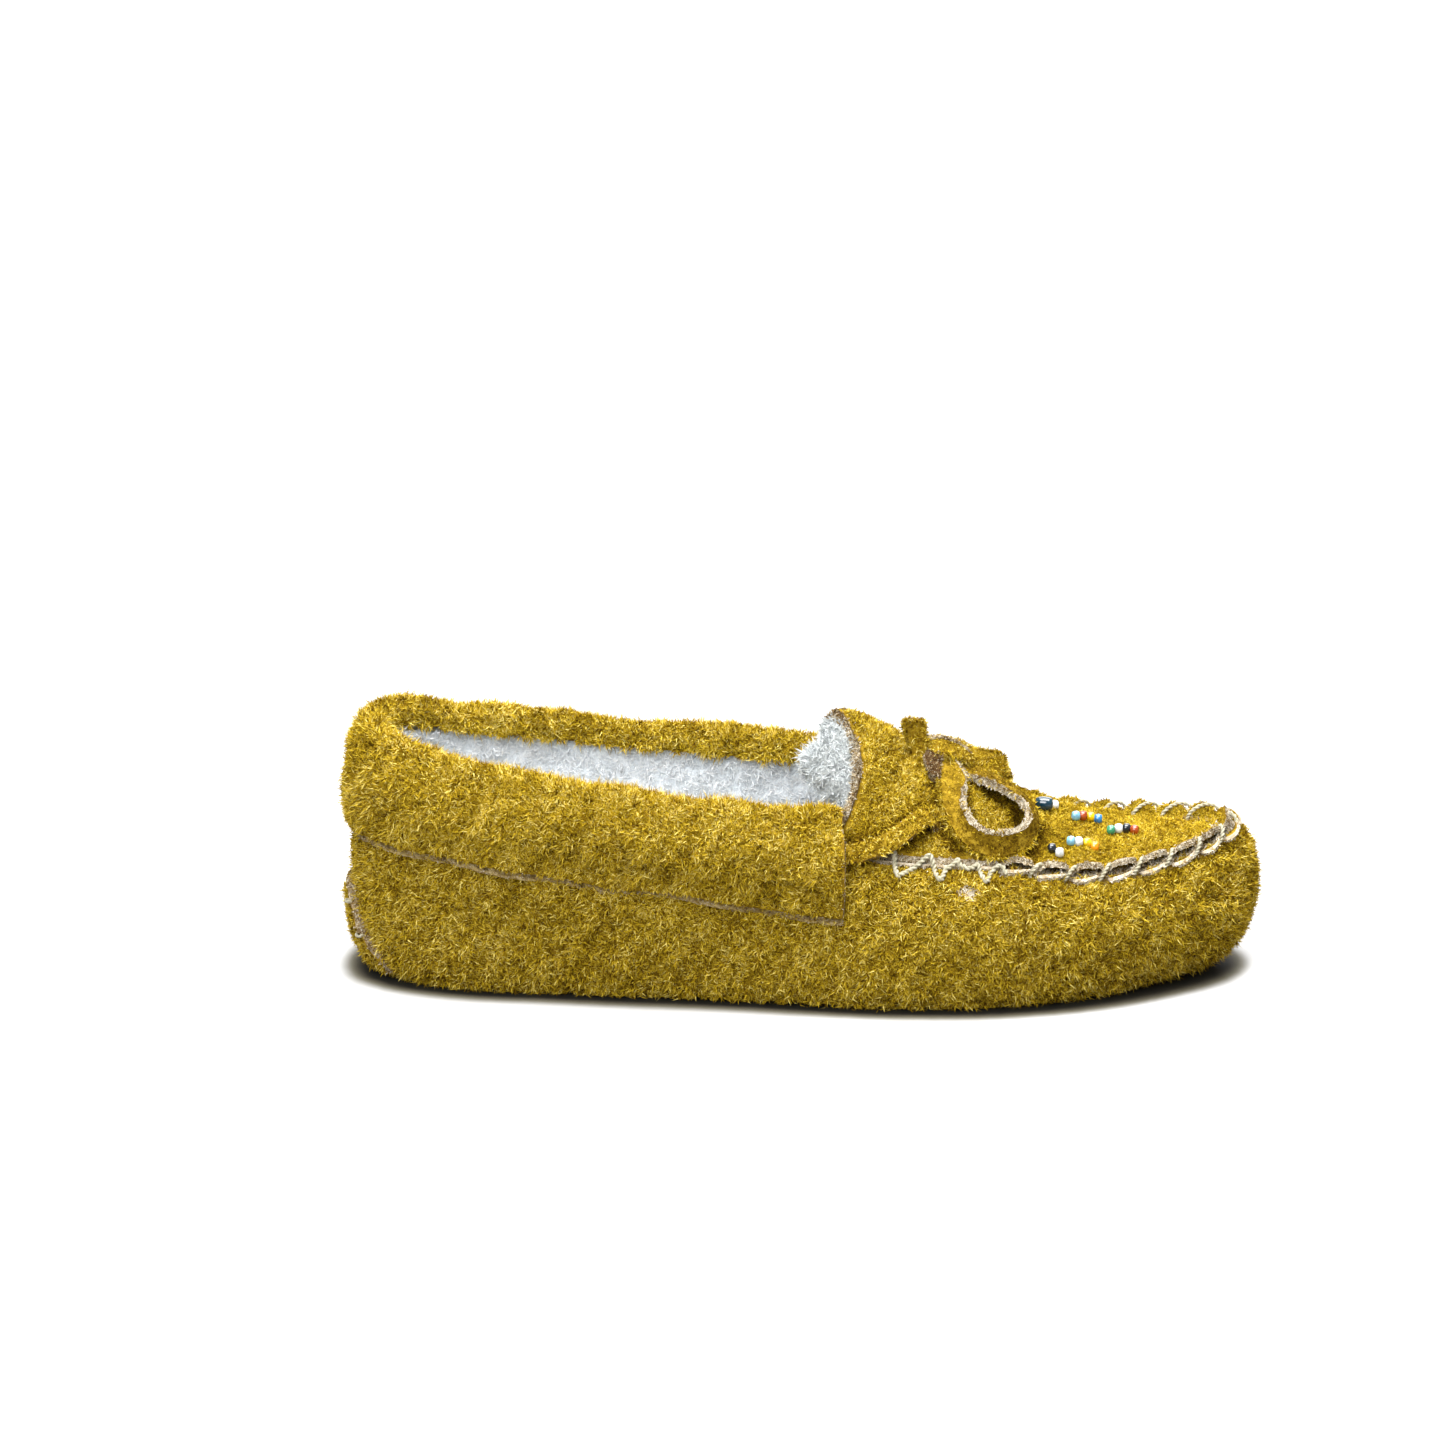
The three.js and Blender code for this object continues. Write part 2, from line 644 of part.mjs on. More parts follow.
add('collar_lace', collarLace(), SUEDE_SHADE);
add('bow_knot', knot(), SUEDE_SHADE);
add('bow_loop_near', bowLoop(-1), SUEDE_YELLOW);
add('bow_loop_far', bowLoop(1), SUEDE_YELLOW);
add('bow_tail_near', bowTail(TAIL_NEAR, [0, -1, 0]), RAW_EDGE);
add('bow_tail_far', bowTail(TAIL_FAR, [0, -0.8, 0.6]), RAW_EDGE);
add('side_thread_near', sideThread(-1), THREAD_CREAM, 0.8);
add('side_thread_far', sideThread(1), THREAD_CREAM, 0.8);
addStitches();
addBeads();

export default root;
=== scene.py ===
# A soft suede moccasin with a fleece lining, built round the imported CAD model.
# Metres in the scene. The shape functions work in millimetres, and MM turns them into metres.
# +X points to the toe, -Y to the camera and +Z up.
import json
import math

import bpy
import numpy as np
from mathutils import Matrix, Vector
from mathutils.kdtree import KDTree


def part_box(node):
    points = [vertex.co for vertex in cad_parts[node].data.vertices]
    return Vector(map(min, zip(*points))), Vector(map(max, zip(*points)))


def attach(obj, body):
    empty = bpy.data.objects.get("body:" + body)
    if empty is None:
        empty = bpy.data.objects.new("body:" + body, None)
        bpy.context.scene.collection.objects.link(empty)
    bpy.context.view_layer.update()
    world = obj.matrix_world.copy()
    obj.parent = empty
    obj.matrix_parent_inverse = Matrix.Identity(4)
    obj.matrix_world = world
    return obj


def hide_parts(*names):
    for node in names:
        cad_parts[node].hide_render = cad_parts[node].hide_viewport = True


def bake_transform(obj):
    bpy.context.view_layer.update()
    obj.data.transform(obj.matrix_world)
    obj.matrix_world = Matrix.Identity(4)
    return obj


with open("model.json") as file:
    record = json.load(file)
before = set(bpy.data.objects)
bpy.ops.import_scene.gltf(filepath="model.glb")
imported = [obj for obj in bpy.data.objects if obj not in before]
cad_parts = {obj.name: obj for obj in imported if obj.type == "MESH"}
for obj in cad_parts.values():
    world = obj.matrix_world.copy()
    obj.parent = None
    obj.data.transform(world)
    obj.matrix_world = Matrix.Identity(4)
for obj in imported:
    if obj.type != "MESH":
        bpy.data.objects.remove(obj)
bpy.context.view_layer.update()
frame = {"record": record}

MM = 0.001
TAU = 2 * math.pi
rng = np.random.default_rng(20)

# Driving dimensions, in millimetres
SUEDE = 1.7                      # thickness of the suede
FLEECE = 3.6                     # thickness of the fleece
LACE_WIDTH = 4.4
LACE_THICKNESS = 1.4
THREAD = 1.0                     # diameter of the sewing thread
STITCH_PITCH = 8.5
STITCH_COUNT = 15
TOE_X = 107.5
TOE_SWAY = 4
RIM_BEND = math.radians(70)
SEAM_INSET = 1.1                 # how far the vamp's edge stays inside the sides' edge
NEAR_SAG = 1.5                   # how much lower the near side's collar hangs
CUFF_TOP = 0.985                 # where the cuff's flap turns into its fold, as a side's level
GATHERS_END = (66, 72)           # how far along the seam from the toe the gathers fade out
EDGE_STANDS = (13, 22)           # where along the shoe the sides' gathered edge starts to stand up
EDGE_ROWS = 8                    # rows of faces in that standing edge
HOLE_LEVEL = 0.86                # how far up the sides the stitches go through, as a side's level
CUFF_COLUMNS = 64                # points across the cuff, from its lower edge to its lip inside
LACE_SHARE = 0.62                # how far up the cuff's flap the lace lies
SEAM_RAW_FROM = 16               # how far along the shoe the seam's raw edges start to show
WORN_X, WORN_LEVEL = 38.6, 0.76  # the middle of the worn patch on the near side
LINING_GAP = 0.8                 # between the sides' suede and their fleece
PILE_TO = 35                     # how far towards the toe the fleece can be seen from the opening
LAYERS = (1, 2)                  # the nap grows in two layers, each light enough to export whole
UP = np.array([0, 0, 1.0])


# ---------------------------------------------------------------- camera

def add_camera():
    """Level with the side of the shoe, a little above it, as far off as a product photo is taken."""
    elevation = math.radians(17)
    distance = 1.0
    middle = Vector((0, 0, 0.030))
    above = 0.0274               # how far over the shoe's middle the camera aims
    aim = Vector((-0.018, 0, middle.z)) + above * Vector((0, math.sin(elevation), math.cos(elevation)))
    data = bpy.data.cameras.new("camera")
    data.lens, data.sensor_width = 106, 36
    camera = bpy.data.objects.new("camera", data)
    camera.location = middle + distance * Vector((0, -math.cos(elevation), math.sin(elevation)))
    camera.rotation_euler = (aim - camera.location).to_track_quat("-Z", "Y").to_euler()
    bpy.context.scene.collection.objects.link(camera)
    bpy.context.scene.camera = camera


# ---------------------------------------------------------------- shape functions, in millimetres

def smoothstep(low, high, x):
    t = np.clip((x - low) / (high - low), 0, 1)
    return t * t * (3 - 2 * t)


def unit(v):
    return v / np.maximum(np.linalg.norm(v, axis=-1, keepdims=True), 1e-9)


def catmull(points, closed=False):
    """The centripetal curve through the points, as a function of the share of the way along."""
    points = np.asarray(points, float)
    count = len(points)
    if closed:
        padded = np.concatenate([points[-1:], points, points[:2]])
    else:
        first = 2 * points[:1] - points[1:2]
        last = 2 * points[-1:] - points[-2:-1]
        padded = np.concatenate([first, points, last])
    spans = count if closed else count - 1

    def curve(t):
        t = np.asarray(t, float)
        place = np.mod(t, 1) * spans if closed else np.clip(t, 0, 1) * spans
        i = np.minimum(place.astype(int), spans - 1)
        w = (place - i)[..., None]
        p0, p1, p2, p3 = (padded[i + k] for k in range(4))
        d0, d1, d2 = (
            np.maximum(np.linalg.norm(b - a, axis=-1, keepdims=True), 1e-6) ** 0.5
            for a, b in ((p0, p1), (p1, p2), (p2, p3))
        )
        m1 = ((p1 - p0) / d0 - (p2 - p0) / (d0 + d1) + (p2 - p1) / d1) * d1
        m2 = ((p2 - p1) / d1 - (p3 - p1) / (d1 + d2) + (p3 - p2) / d2) * d1
        a = 2 * p1 - 2 * p2 + m1 + m2
        b = -3 * p1 + 3 * p2 - 2 * m1 - m2
        return ((a * w + b) * w + m1) * w + p1

    return curve


def sway(x):
    """How far the shoe's middle line leans to the inner side of the foot."""
    return TOE_SWAY * smoothstep(10, TOE_X, x)


def round_the_shoe(half, sag=0):
    """The whole line round the shoe from half a line. The collar's part of the near half sags."""
    near = [(x, sway(x) - w, z - (sag if w > 0 and x < 5 else 0)) for x, w, z in half]
    far = [(x, sway(x) + w, z) for x, w, z in reversed(half[1:-1])]
    return catmull(near + far, closed=True)


# Lines round the shoe, as half a line from the heel to the toe: (x, half width, z).
CONTACT = [
    (-93, 0, 0), (-89.5, 12, 0), (-78, 20, 0), (-50, 23, 0), (-20, 26.5, 0), (4, 30.5, 0),
    (20, 33, 0), (45, 31.5, 0), (66, 24.5, 0), (80, 14.5, 0), (86.5, 6.5, 0), (88, 0, 0),
]
WIDEST = [
    (-104, 0, 18), (-98.2, 16.5, 17), (-79, 25, 15), (-50, 29, 13), (-20, 31, 13), (4, 34.5, 13),
    (20, 36.5, 13), (45, 38, 14), (70, 34, 15), (90, 24, 16), (102.8, 11.5, 18), (TOE_X, 0, 20),
]
TOP = [
    (-100.3, 0, 57), (-94.5, 14.2, 56.2), (-79, 21.4, 53.2), (-50, 28, 49), (-20, 30, 45.7), (4, 29.5, 43.1),
    (15, 29.5, 34.6), (43, 28.5, 31), (66, 25.6, 27.6), (84, 19, 28.6), (97, 9.6, 31), (102.2, 0, 32.4),
]
COLLAR = [(x, w, z) if i < 6 else (x - 1, w, 42) for i, (x, w, z) in enumerate(TOP)]
RIDGE = [
    (8, 62.2), (19, 57), (27, 52), (34, 48.8), (44, 43.6),
    (54, 39), (64, 35.2), (74, 32.9), (86, 32.3), (103, 33),
]
STATIONS = 2 * (len(TOP) - 1)
CUFF_END = 5.6 / STATIONS        # the cuff's front edge, as a share of the way round
VAMP_START = 6 / STATIONS        # where the vamp's seam begins
BACKING_END = 5.2 / STATIONS     # where the suede behind the seam begins
TAB_HALF = 1.05 / STATIONS       # half the heel tab's width at the floor

contact_line = round_the_shoe(CONTACT)
widest_line = round_the_shoe(WIDEST)
top_line = round_the_shoe(TOP, NEAR_SAG)
collar_line = round_the_shoe(COLLAR, NEAR_SAG)
ridge_line = catmull([(x, 0, z) for x, z in RIDGE])


def side_face(u, level, top=top_line):
    """The sides' outer face. u goes round from the heel by the near side; level is -1 at the floor,
    0 at the widest line and 1 at the top."""
    u, level = np.broadcast_arrays(np.asarray(u, float), np.asarray(level, float))
    contact, widest, rim = contact_line(u), widest_line(u), top(u)
    down = (1 + np.clip(level, -1, 0)) * math.pi / 2
    up = np.arcsin(np.clip(level, 0, 1) * math.sin(RIM_BEND))
    low = contact + (widest - contact) * np.sin(down)[..., None]
    low[..., 2] = widest[..., 2] * (1 - np.cos(down))
    share = (1 - np.cos(up)) / (1 - math.cos(RIM_BEND))
    high = widest + (rim - widest) * share[..., None]
    high[..., 2] = widest[..., 2] + (rim[..., 2] - widest[..., 2]) * np.clip(level, 0, 1)
    return np.where((level < 0)[..., None], low, high)


def side(u, level, out, top=top_line):
    """Points `out` millimetres off the sides' outer face."""
    step = 0.004
    over, under = np.minimum(level + step, 1), np.maximum(level - step, -1)
    along_u = side_face(u + step, level, top) - side_face(u - step, level, top)
    along_level = side_face(u, over, top) - side_face(u, under, top)
    normal = unit(np.cross(along_u, along_level))
    return side_face(u, level, top) + normal * np.asarray(out)[..., None]


def side_spot(u, level, out):
    return side(np.array([u]), np.array([level]), np.array([out]))[0]


def side_point(x, hand, level, out):
    """The point of the side at this place along the shoe. hand is -1 on the near side."""
    u = seam_u(x)
    for _ in range(4):
        u = u + (x - side_spot(u, level, out)[0]) * 0.0018
    return side_spot(u if hand < 0 else 1 - u, level, out)


def outwards_at(u):
    """The level direction out of the shoe at each place on its top line."""
    ahead = unit(top_line(u + 0.002) - top_line(u - 0.002))
    return unit(np.cross(ahead, UP))


# the seam and the vamp's ridge, sampled, so that places can be looked up along the shoe
_seam_u = np.linspace(VAMP_START, 0.5, 500)
_seam = top_line(_seam_u)
_seam_half = sway(_seam[:, 0]) - _seam[:, 1]
_ridge = ridge_line(np.linspace(0, 1, 400))


def seam_half(x):
    return np.interp(x, _seam[:, 0], _seam_half)


def seam_z(x):
    return np.interp(x, _seam[:, 0], _seam[:, 2])


def seam_u(x):
    return np.interp(x, _seam[:, 0], _seam_u)


def ridge_z(x):
    return np.interp(x, _ridge[:, 0], _ridge[:, 2])


def arch(x, across, inset=SEAM_INSET):
    """The arched face of the vamp and tongue. across is -1 at the near seam and 1 at the far one."""
    x, across = np.broadcast_arrays(np.asarray(x, float), np.asarray(across, float))
    half = np.maximum(seam_half(x) - inset, 0.3)
    rise = np.clip(1 - across ** 2, 0, 1) ** 0.75
    z = seam_z(x) + (ridge_z(x) - seam_z(x)) * rise
    return np.stack([x, sway(x) + across * half, z], -1)


def vamp_at(x, y, lift):
    """A point `lift` off the vamp's face, above the plan's point (x, y)."""
    def height(px, py):
        across = np.clip((py - sway(px)) / (seam_half(px) - SEAM_INSET), -1, 1)
        return arch(px, across)[..., 2]
    x, y, lift = (np.asarray(v, float) for v in (x, y, lift))
    slope_x = (height(x + 0.5, y) - height(x - 0.5, y))
    slope_y = (height(x, y + 0.5) - height(x, y - 0.5))
    normal = unit(np.stack([-slope_x, -slope_y, np.ones_like(slope_x)], -1))
    return np.stack([x, y, height(x, y)], -1) + normal * lift[..., None]


def rim_x(across):
    """Where the tongue's rim is along the shoe."""
    a = np.minimum(np.abs(across), 1)
    return 8.7 + 2.8 * a + 4.2 * np.sin(math.pi * a) - 4.5 * a ** 10


_wave_k = rng.normal(size=(3, 7, 3))
_wave_p = rng.uniform(0, TAU, size=(3, 7))


def noise(points, size, kind=0):
    """Smooth noise from about -1 to 1, with bumps about `size` millimetres apart."""
    waves = np.sin(points @ (_wave_k[kind].T * (TAU / size / 1.6)) + _wave_p[kind])
    return waves.sum(-1) / 2.6


def seam_distance(u):
    """Distance along the seam from the toe, negative on the far side."""
    samples = np.linspace(0.2, 0.8, 1200)
    line = top_line(samples)
    steps = np.linalg.norm(np.diff(line, axis=0), axis=1)
    travelled = np.concatenate([[0], np.cumsum(steps)])
    travelled -= np.interp(0.5, samples, travelled)
    return -np.interp(u, samples, travelled)


def seam_route():
    """Distances along the seam from the toe, positive on the far side, and the places u there."""
    samples = np.linspace(0.25, 0.75, 2000)
    return -seam_distance(samples), samples


def turned(a, b, angle):
    """The pair (a, b) turned by the angle."""
    return a * math.cos(angle) - b * math.sin(angle), a * math.sin(angle) + b * math.cos(angle)


# ---------------------------------------------------------------- mesh helpers

def grid_quads(rows, columns, wrap=False, wrap_columns=False):
    i = np.arange(rows if wrap else rows - 1)[:, None]
    j = np.arange(columns if wrap_columns else columns - 1)[None, :]
    k, m = (i + 1) % rows, (j + 1) % columns
    corners = [i * columns + j, k * columns + j, k * columns + m, i * columns + m]
    return np.stack(np.broadcast_arrays(*corners), -1).reshape(-1, 4)


def grid_normal(grid):
    return unit(np.cross(np.gradient(grid, axis=0), np.gradient(grid, axis=1)))


def oriented(points, face):
    """Faces of an open grid, turned away from the shoe's middle line."""
    a, b, c = (points[face[:, k]] for k in range(3))
    normal = np.cross(b - a, c - a)
    middle = points[face].mean(1)
    zero = 0 * middle[:, 0]
    away = middle - np.stack([np.clip(middle[:, 0], -70, 70), zero, zero + 15], -1)
    return face if (normal * away).sum() > 0 else face[:, ::-1]


def slab(outer, inner, wrap=False, fans=False):
    """A closed sheet between two grids of points. Returns its points, its faces and each face's
    place: 0 on the sheet, 1 on the cut along the first column, 2 along the last one and 3 at the
    first and last row. With `fans`, the first column's two rings are closed to their middles."""
    rows, columns = outer.shape[:2]
    count = rows * columns
    points = np.concatenate([outer.reshape(-1, 3), inner.reshape(-1, 3)])
    face = grid_quads(rows, columns, wrap)
    quads = [face, face[:, ::-1] + count]
    edges = [np.zeros(2 * len(face), int)]

    def close(first, second, label, flip):
        strip = np.stack([first, second, second + count, first + count], -1)
        quads.append(strip[:, ::-1] if flip else strip)
        edges.append(np.full(len(strip), label))

    i = np.arange(rows if wrap else rows - 1) * columns
    k = (i + columns) % count
    if not fans:
        close(i, k, 1, False)
    close(i + columns - 1, k + columns - 1, 2, True)
    if not wrap:
        j = np.arange(columns - 1)
        close(j, j + 1, 3, True)
        close(count - columns + j, count - columns + j + 1, 3, False)
    if fans:
        middles = np.stack([outer[:, 0].mean(0), inner[:, 0].mean(0)])
        points = np.concatenate([points, middles])
        heart = np.full(rows, 2 * count)
        quads.append(np.stack([i, heart, k, k], -1))
        quads.append(np.stack([i + count, k + count, heart + 1, heart + 1], -1))
        edges.append(np.zeros(2 * rows, int))
    return points, outward(points, np.concatenate(quads)), np.concatenate(edges)


def corner_normals(points, quads):
    flat = np.cross(points[quads[:, 2]] - points[quads[:, 0]], points[quads[:, 3]] - points[quads[:, 1]])
    normals = np.zeros_like(points)
    for k in range(4):
        np.add.at(normals, quads[:, k], flat)
    return unit(normals), np.linalg.norm(flat, axis=1) / 2


def outward(points, quads):
    """The same faces, turned to point out of the closed solid."""
    a, b, c, d = (points[quads[:, k]] for k in range(4))
    volume = (a * np.cross(b, c)).sum() + (a * np.cross(c, d)).sum()
    return quads if volume > 0 else quads[:, ::-1]


def make_piece(name, points, faces, materials, face_material=None, smooth=True):
    """A Blender object from millimetre points. A quad whose last two corners are one is a triangle."""
    mesh = bpy.data.meshes.new(name)
    faces = np.asarray(faces)
    width = faces.shape[1]
    if width == 4 and (faces[:, 2] == faces[:, 3]).any():
        mesh.from_pydata((points * MM).tolist(), [], [list(dict.fromkeys(f)) for f in faces.tolist()])
    else:
        mesh.vertices.add(len(points))
        mesh.vertices.foreach_set("co", (points * MM).astype(np.float32).ravel())
        mesh.loops.add(faces.size)
        mesh.loops.foreach_set("vertex_index", faces.astype(np.int32).ravel())
        mesh.polygons.add(len(faces))
        mesh.polygons.foreach_set("loop_start", np.arange(0, faces.size, width, dtype=np.int32))
    for material in materials:
        mesh.materials.append(material)
    if face_material is not None:
        mesh.polygons.foreach_set("material_index", np.asarray(face_material, np.int32))
    mesh.polygons.foreach_set("use_smooth", np.full(len(mesh.polygons), smooth))
    mesh.update()
    mesh.validate()
    piece = bpy.data.objects.new(name, mesh)
    bpy.context.scene.collection.objects.link(piece)
    return piece


def scatter(points, quads, count, keep=None):
    """Random places on the faces, with the surface's normal there. keep is a share for each face."""
    normals, area = corner_normals(points, quads)
    weight = area if keep is None else area * keep
    chosen = np.searchsorted(np.cumsum(weight), rng.uniform(0, weight.sum(), count))
    chosen = np.minimum(chosen, len(quads) - 1)
    s, t = rng.uniform(0, 1, (2, count, 1))
    share = [(1 - s) * (1 - t), s * (1 - t), s * t, (1 - s) * t]
    corner = quads[chosen]
    place = sum(w * points[corner[:, k]] for k, w in enumerate(share))
    normal = unit(sum(w * normals[corner[:, k]] for k, w in enumerate(share)))
    return place, normal


def fibres(name, place, normal, length, width, lean, shades, pick, floor=0.05, curl=0.9):
    """Short curled fibres as bent slivers of two faces. lean is the angle from the normal."""
    count = len(place)
    swirl = noise(place, 9, 1) * 2.2 + noise(place, 3.5, 2) * 1.6
    angle = swirl + rng.normal(0, 0.7, count)
    flat = unit(np.cross(normal, unit(np.array([0.31, 0.2, 0.93]))))
    other = np.cross(normal, flat)
    along = flat * np.cos(angle)[:, None] + other * np.sin(angle)[:, None]
    size = length * np.where(rng.uniform(0, 1, count) < 0.2, 1.6, 1) * rng.uniform(0.6, 1.25, count)
    tilt = np.clip(rng.normal(lean, 0.3, count), 0.1, 1.45)
    turn = tilt + rng.normal(0.35, 0.5, count) * curl
    first = normal * np.cos(tilt)[:, None] + along * np.sin(tilt)[:, None]
    second = normal * np.cos(turn)[:, None] + along * np.sin(turn)[:, None]
    sideways = np.cross(normal, along)
    second = unit(second + sideways * (rng.normal(0, 0.45, count) * curl)[:, None])
    root = place - normal * 0.15
    middle = root + first * (size * 0.5)[:, None]
    tip = middle + second * (size * 0.5)[:, None]
    wide = unit(sideways + normal * rng.normal(0, 0.6, (count, 1)))
    wide = wide * (width / 2 * rng.uniform(0.6, 1.3, (count, 1)))
    points = np.stack([root, middle - wide, middle + wide, tip], 1)
    points[..., 2] = np.maximum(points[..., 2], floor)
    first_point = np.arange(count)[:, None] * 4
    faces = np.stack([first_point + [0, 1, 2], first_point + [3, 2, 1]], 1).reshape(-1, 3)
    # painted shade: the root takes a shade two steps darker than the tip
    tip_shade = np.clip(pick, 0, len(shades) - 1)
    root_shade = np.clip(pick - 2, 0, len(shades) - 1)
    material = np.stack([root_shade, tip_shade], 1).ravel()
    return make_piece(name, points.reshape(-1, 3), faces, shades, material, smooth=False)


# ---------------------------------------------------------------- materials

def principled(name, color, roughness=0.8, **constants):
    material = bpy.data.materials.new(name)
    material.use_nodes = True
    shader = material.node_tree.nodes["Principled BSDF"]
    shader.inputs["Base Color"].default_value = (*color, 1)
    shader.inputs["Roughness"].default_value = roughness
    for key, value in constants.items():
        shader.inputs[key.replace("_", " ")].default_value = value
    return material


def add_node(nodes, kind, **values):
    """A shader node with these values on its inputs. An underscore stands for a space."""
    node = nodes.new(f"ShaderNode{kind}")
    for key, value in values.items():
        node.inputs[key.replace("_", " ")].default_value = value
    return node


def add_ramp(nodes, stops):
    """A colour ramp through (position, colour) stops."""
    ramp = nodes.new("ShaderNodeValToRGB")
    elements = ramp.color_ramp.elements
    for element, (position, color) in zip(elements, (stops[0], stops[-1])):
        element.position = position
        element.color = (*color, 1)
    for position, color in stops[1:-1]:
        elements.new(position).color = (*color, 1)
    return ramp


def mottled(name, colors, scale, roughness=0.95, bump=0.7, bump_scale=900, detail=6, **constants):
    """A material whose colour runs through `colors` by noise, with a fine bump."""
    material = principled(name, colors[0], roughness, **constants)
    nodes, links = material.node_tree.nodes, material.node_tree.links
    shader = nodes["Principled BSDF"]
    place = add_node(nodes, "TexCoord")
    cloud = add_node(nodes, "TexNoise", Scale=scale, Detail=detail, Roughness=0.65)
    last = len(colors) - 1
    ramp = add_ramp(nodes, [(0.32 + 0.36 * i / last, color) for i, color in enumerate(colors)])
    grain = add_node(nodes, "TexNoise", Scale=bump_scale, Detail=3)
    relief = add_node(nodes, "Bump", Strength=bump, Distance=0.0004)
    links.new(place.outputs["Object"], cloud.inputs["Vector"])
    links.new(place.outputs["Object"], grain.inputs["Vector"])
    links.new(cloud.outputs["Fac"], ramp.inputs["Fac"])
    links.new(ramp.outputs["Color"], shader.inputs["Base Color"])
    links.new(grain.outputs["Fac"], relief.inputs["Height"])
    links.new(relief.outputs["Normal"], shader.inputs["Normal"])
    return material


# Each material's colours run from its shaded hollows to its raised, lit fibres.
DULL = {"Specular_IOR_Level": 0.05}
suede = mottled(
    "suede", [(0.09, 0.05, 0.003), (0.26, 0.16, 0.010), (0.48, 0.32, 0.03)], 420, bump=0.6, **DULL)
raw_edge = mottled("raw_edge", [(0.12, 0.065, 0.025), (0.44, 0.32, 0.17), (0.80, 0.72, 0.56)], 900, **DULL)
tan_edge = mottled("tan_edge", [(0.22, 0.14, 0.035), (0.42, 0.31, 0.12), (0.62, 0.50, 0.28)], 900, **DULL)
pale_edge = mottled("pale_edge", [(0.26, 0.18, 0.09), (0.50, 0.42, 0.30), (0.72, 0.66, 0.55)], 900, **DULL)
suede_edge = mottled(
    "suede_edge", [(0.12, 0.07, 0.01), (0.28, 0.18, 0.04), (0.46, 0.33, 0.10)], 700, bump=0.6, **DULL)
# Very dark brown: the own colour of the knot's dark raw edges, and painted shade inside the lace's slot in
# the vamp
dark_edge_and_slot_shade = mottled(
    "dark_edge_and_slot_shade", [(0.02, 0.01, 0.004), (0.07, 0.035, 0.014), (0.2, 0.12, 0.05)], 700, bump=0.6, **DULL)
fleece = mottled(
    "fleece", [(0.78, 0.83, 0.86), (0.90, 0.94, 0.97), (0.95, 0.97, 0.98)],
    160, bump=0.5, bump_scale=500, **DULL)
# The same fleece painted darker, a painted shade, for the tongue's lining and the insole, which the top
# light lights more than the sides' lining
fleece_painted_darker = mottled(
    "fleece_painted_darker", [(0.48, 0.51, 0.52), (0.54, 0.57, 0.58), (0.60, 0.62, 0.62)],
    160, bump=0.5, bump_scale=500, **DULL)
foam = mottled("foam", [(0.70, 0.64, 0.48), (0.80, 0.75, 0.60)], 300, roughness=0.9, bump=0.4)
cream_thread = mottled(
    "cream_thread", [(0.30, 0.28, 0.18), (0.44, 0.41, 0.30), (0.53, 0.51, 0.40)],
    900, roughness=0.8, bump=0.3, **DULL)


def shade_row(name, colors):
    """A flat colour for each shade of a fibre. Each fibre takes two: a darker root, which is painted shade
    down among the fibres, and a tip.
    """
    return [principled(f"{name}_{i}", color, 0.85, **DULL) for i, color in enumerate(colors)]


nap_shades = shade_row("nap", [
    (0.075, 0.038, 0.002), (0.18, 0.103, 0.004), (0.34, 0.217, 0.008),
    (0.50, 0.34, 0.016), (0.66, 0.475, 0.05), (0.85, 0.69, 0.18),
])
edge_shades = shade_row("edge_fuzz", [
    (0.08, 0.04, 0.014), (0.22, 0.14, 0.055), (0.42, 0.32, 0.17), (0.60, 0.52, 0.37), (0.78, 0.72, 0.60),
])
fleece_shades = shade_row("pile", [
    (0.84, 0.88, 0.91), (0.90, 0.93, 0.95), (0.95, 0.97, 0.98), (0.98, 0.985, 0.985),
])
# The pile painted darker in the same way, a painted shade
pile_painted_darker = shade_row("tongue_pile", [
    (0.50, 0.53, 0.54), (0.54, 0.57, 0.58), (0.58, 0.61, 0.61), (0.62, 0.64, 0.635),
])


def nap_pick(place, bias=0.0, spread=1.0):
    """Which shade each fibre takes: clumps of light and dark, mixed with single odd fibres."""
    count = len(place)
    clumps = noise(place, 22, 0) * 0.18 + noise(place, 4.5, 2) * 0.15 + noise(place, 2.0, 1) * 0.75
    value = 3.1 + spread * (clumps + rng.normal(0, 1.15, count)) + bias
    return np.round(value).astype(int)


TONGUE = "tongue and shoe"       # a piece that reaches from the shoe to the tongue; it rides on no body


def ride_as(piece, body, slot_name, *nodes):
    """The piece rides on the body and stands for the nodes. `slot_name` is not used."""
    if body == TONGUE:
        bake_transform(piece)
    else:
        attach(piece, body)
    if nodes:
        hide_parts(*nodes)
    return piece


def distance_to(places, targets):
    """Each place's distance to the nearest target."""
    tree = KDTree(len(targets))
    for i, target in enumerate(targets):
        tree.insert(target, i)
    tree.balance()
    return np.array([tree.find(place)[2] for place in places])


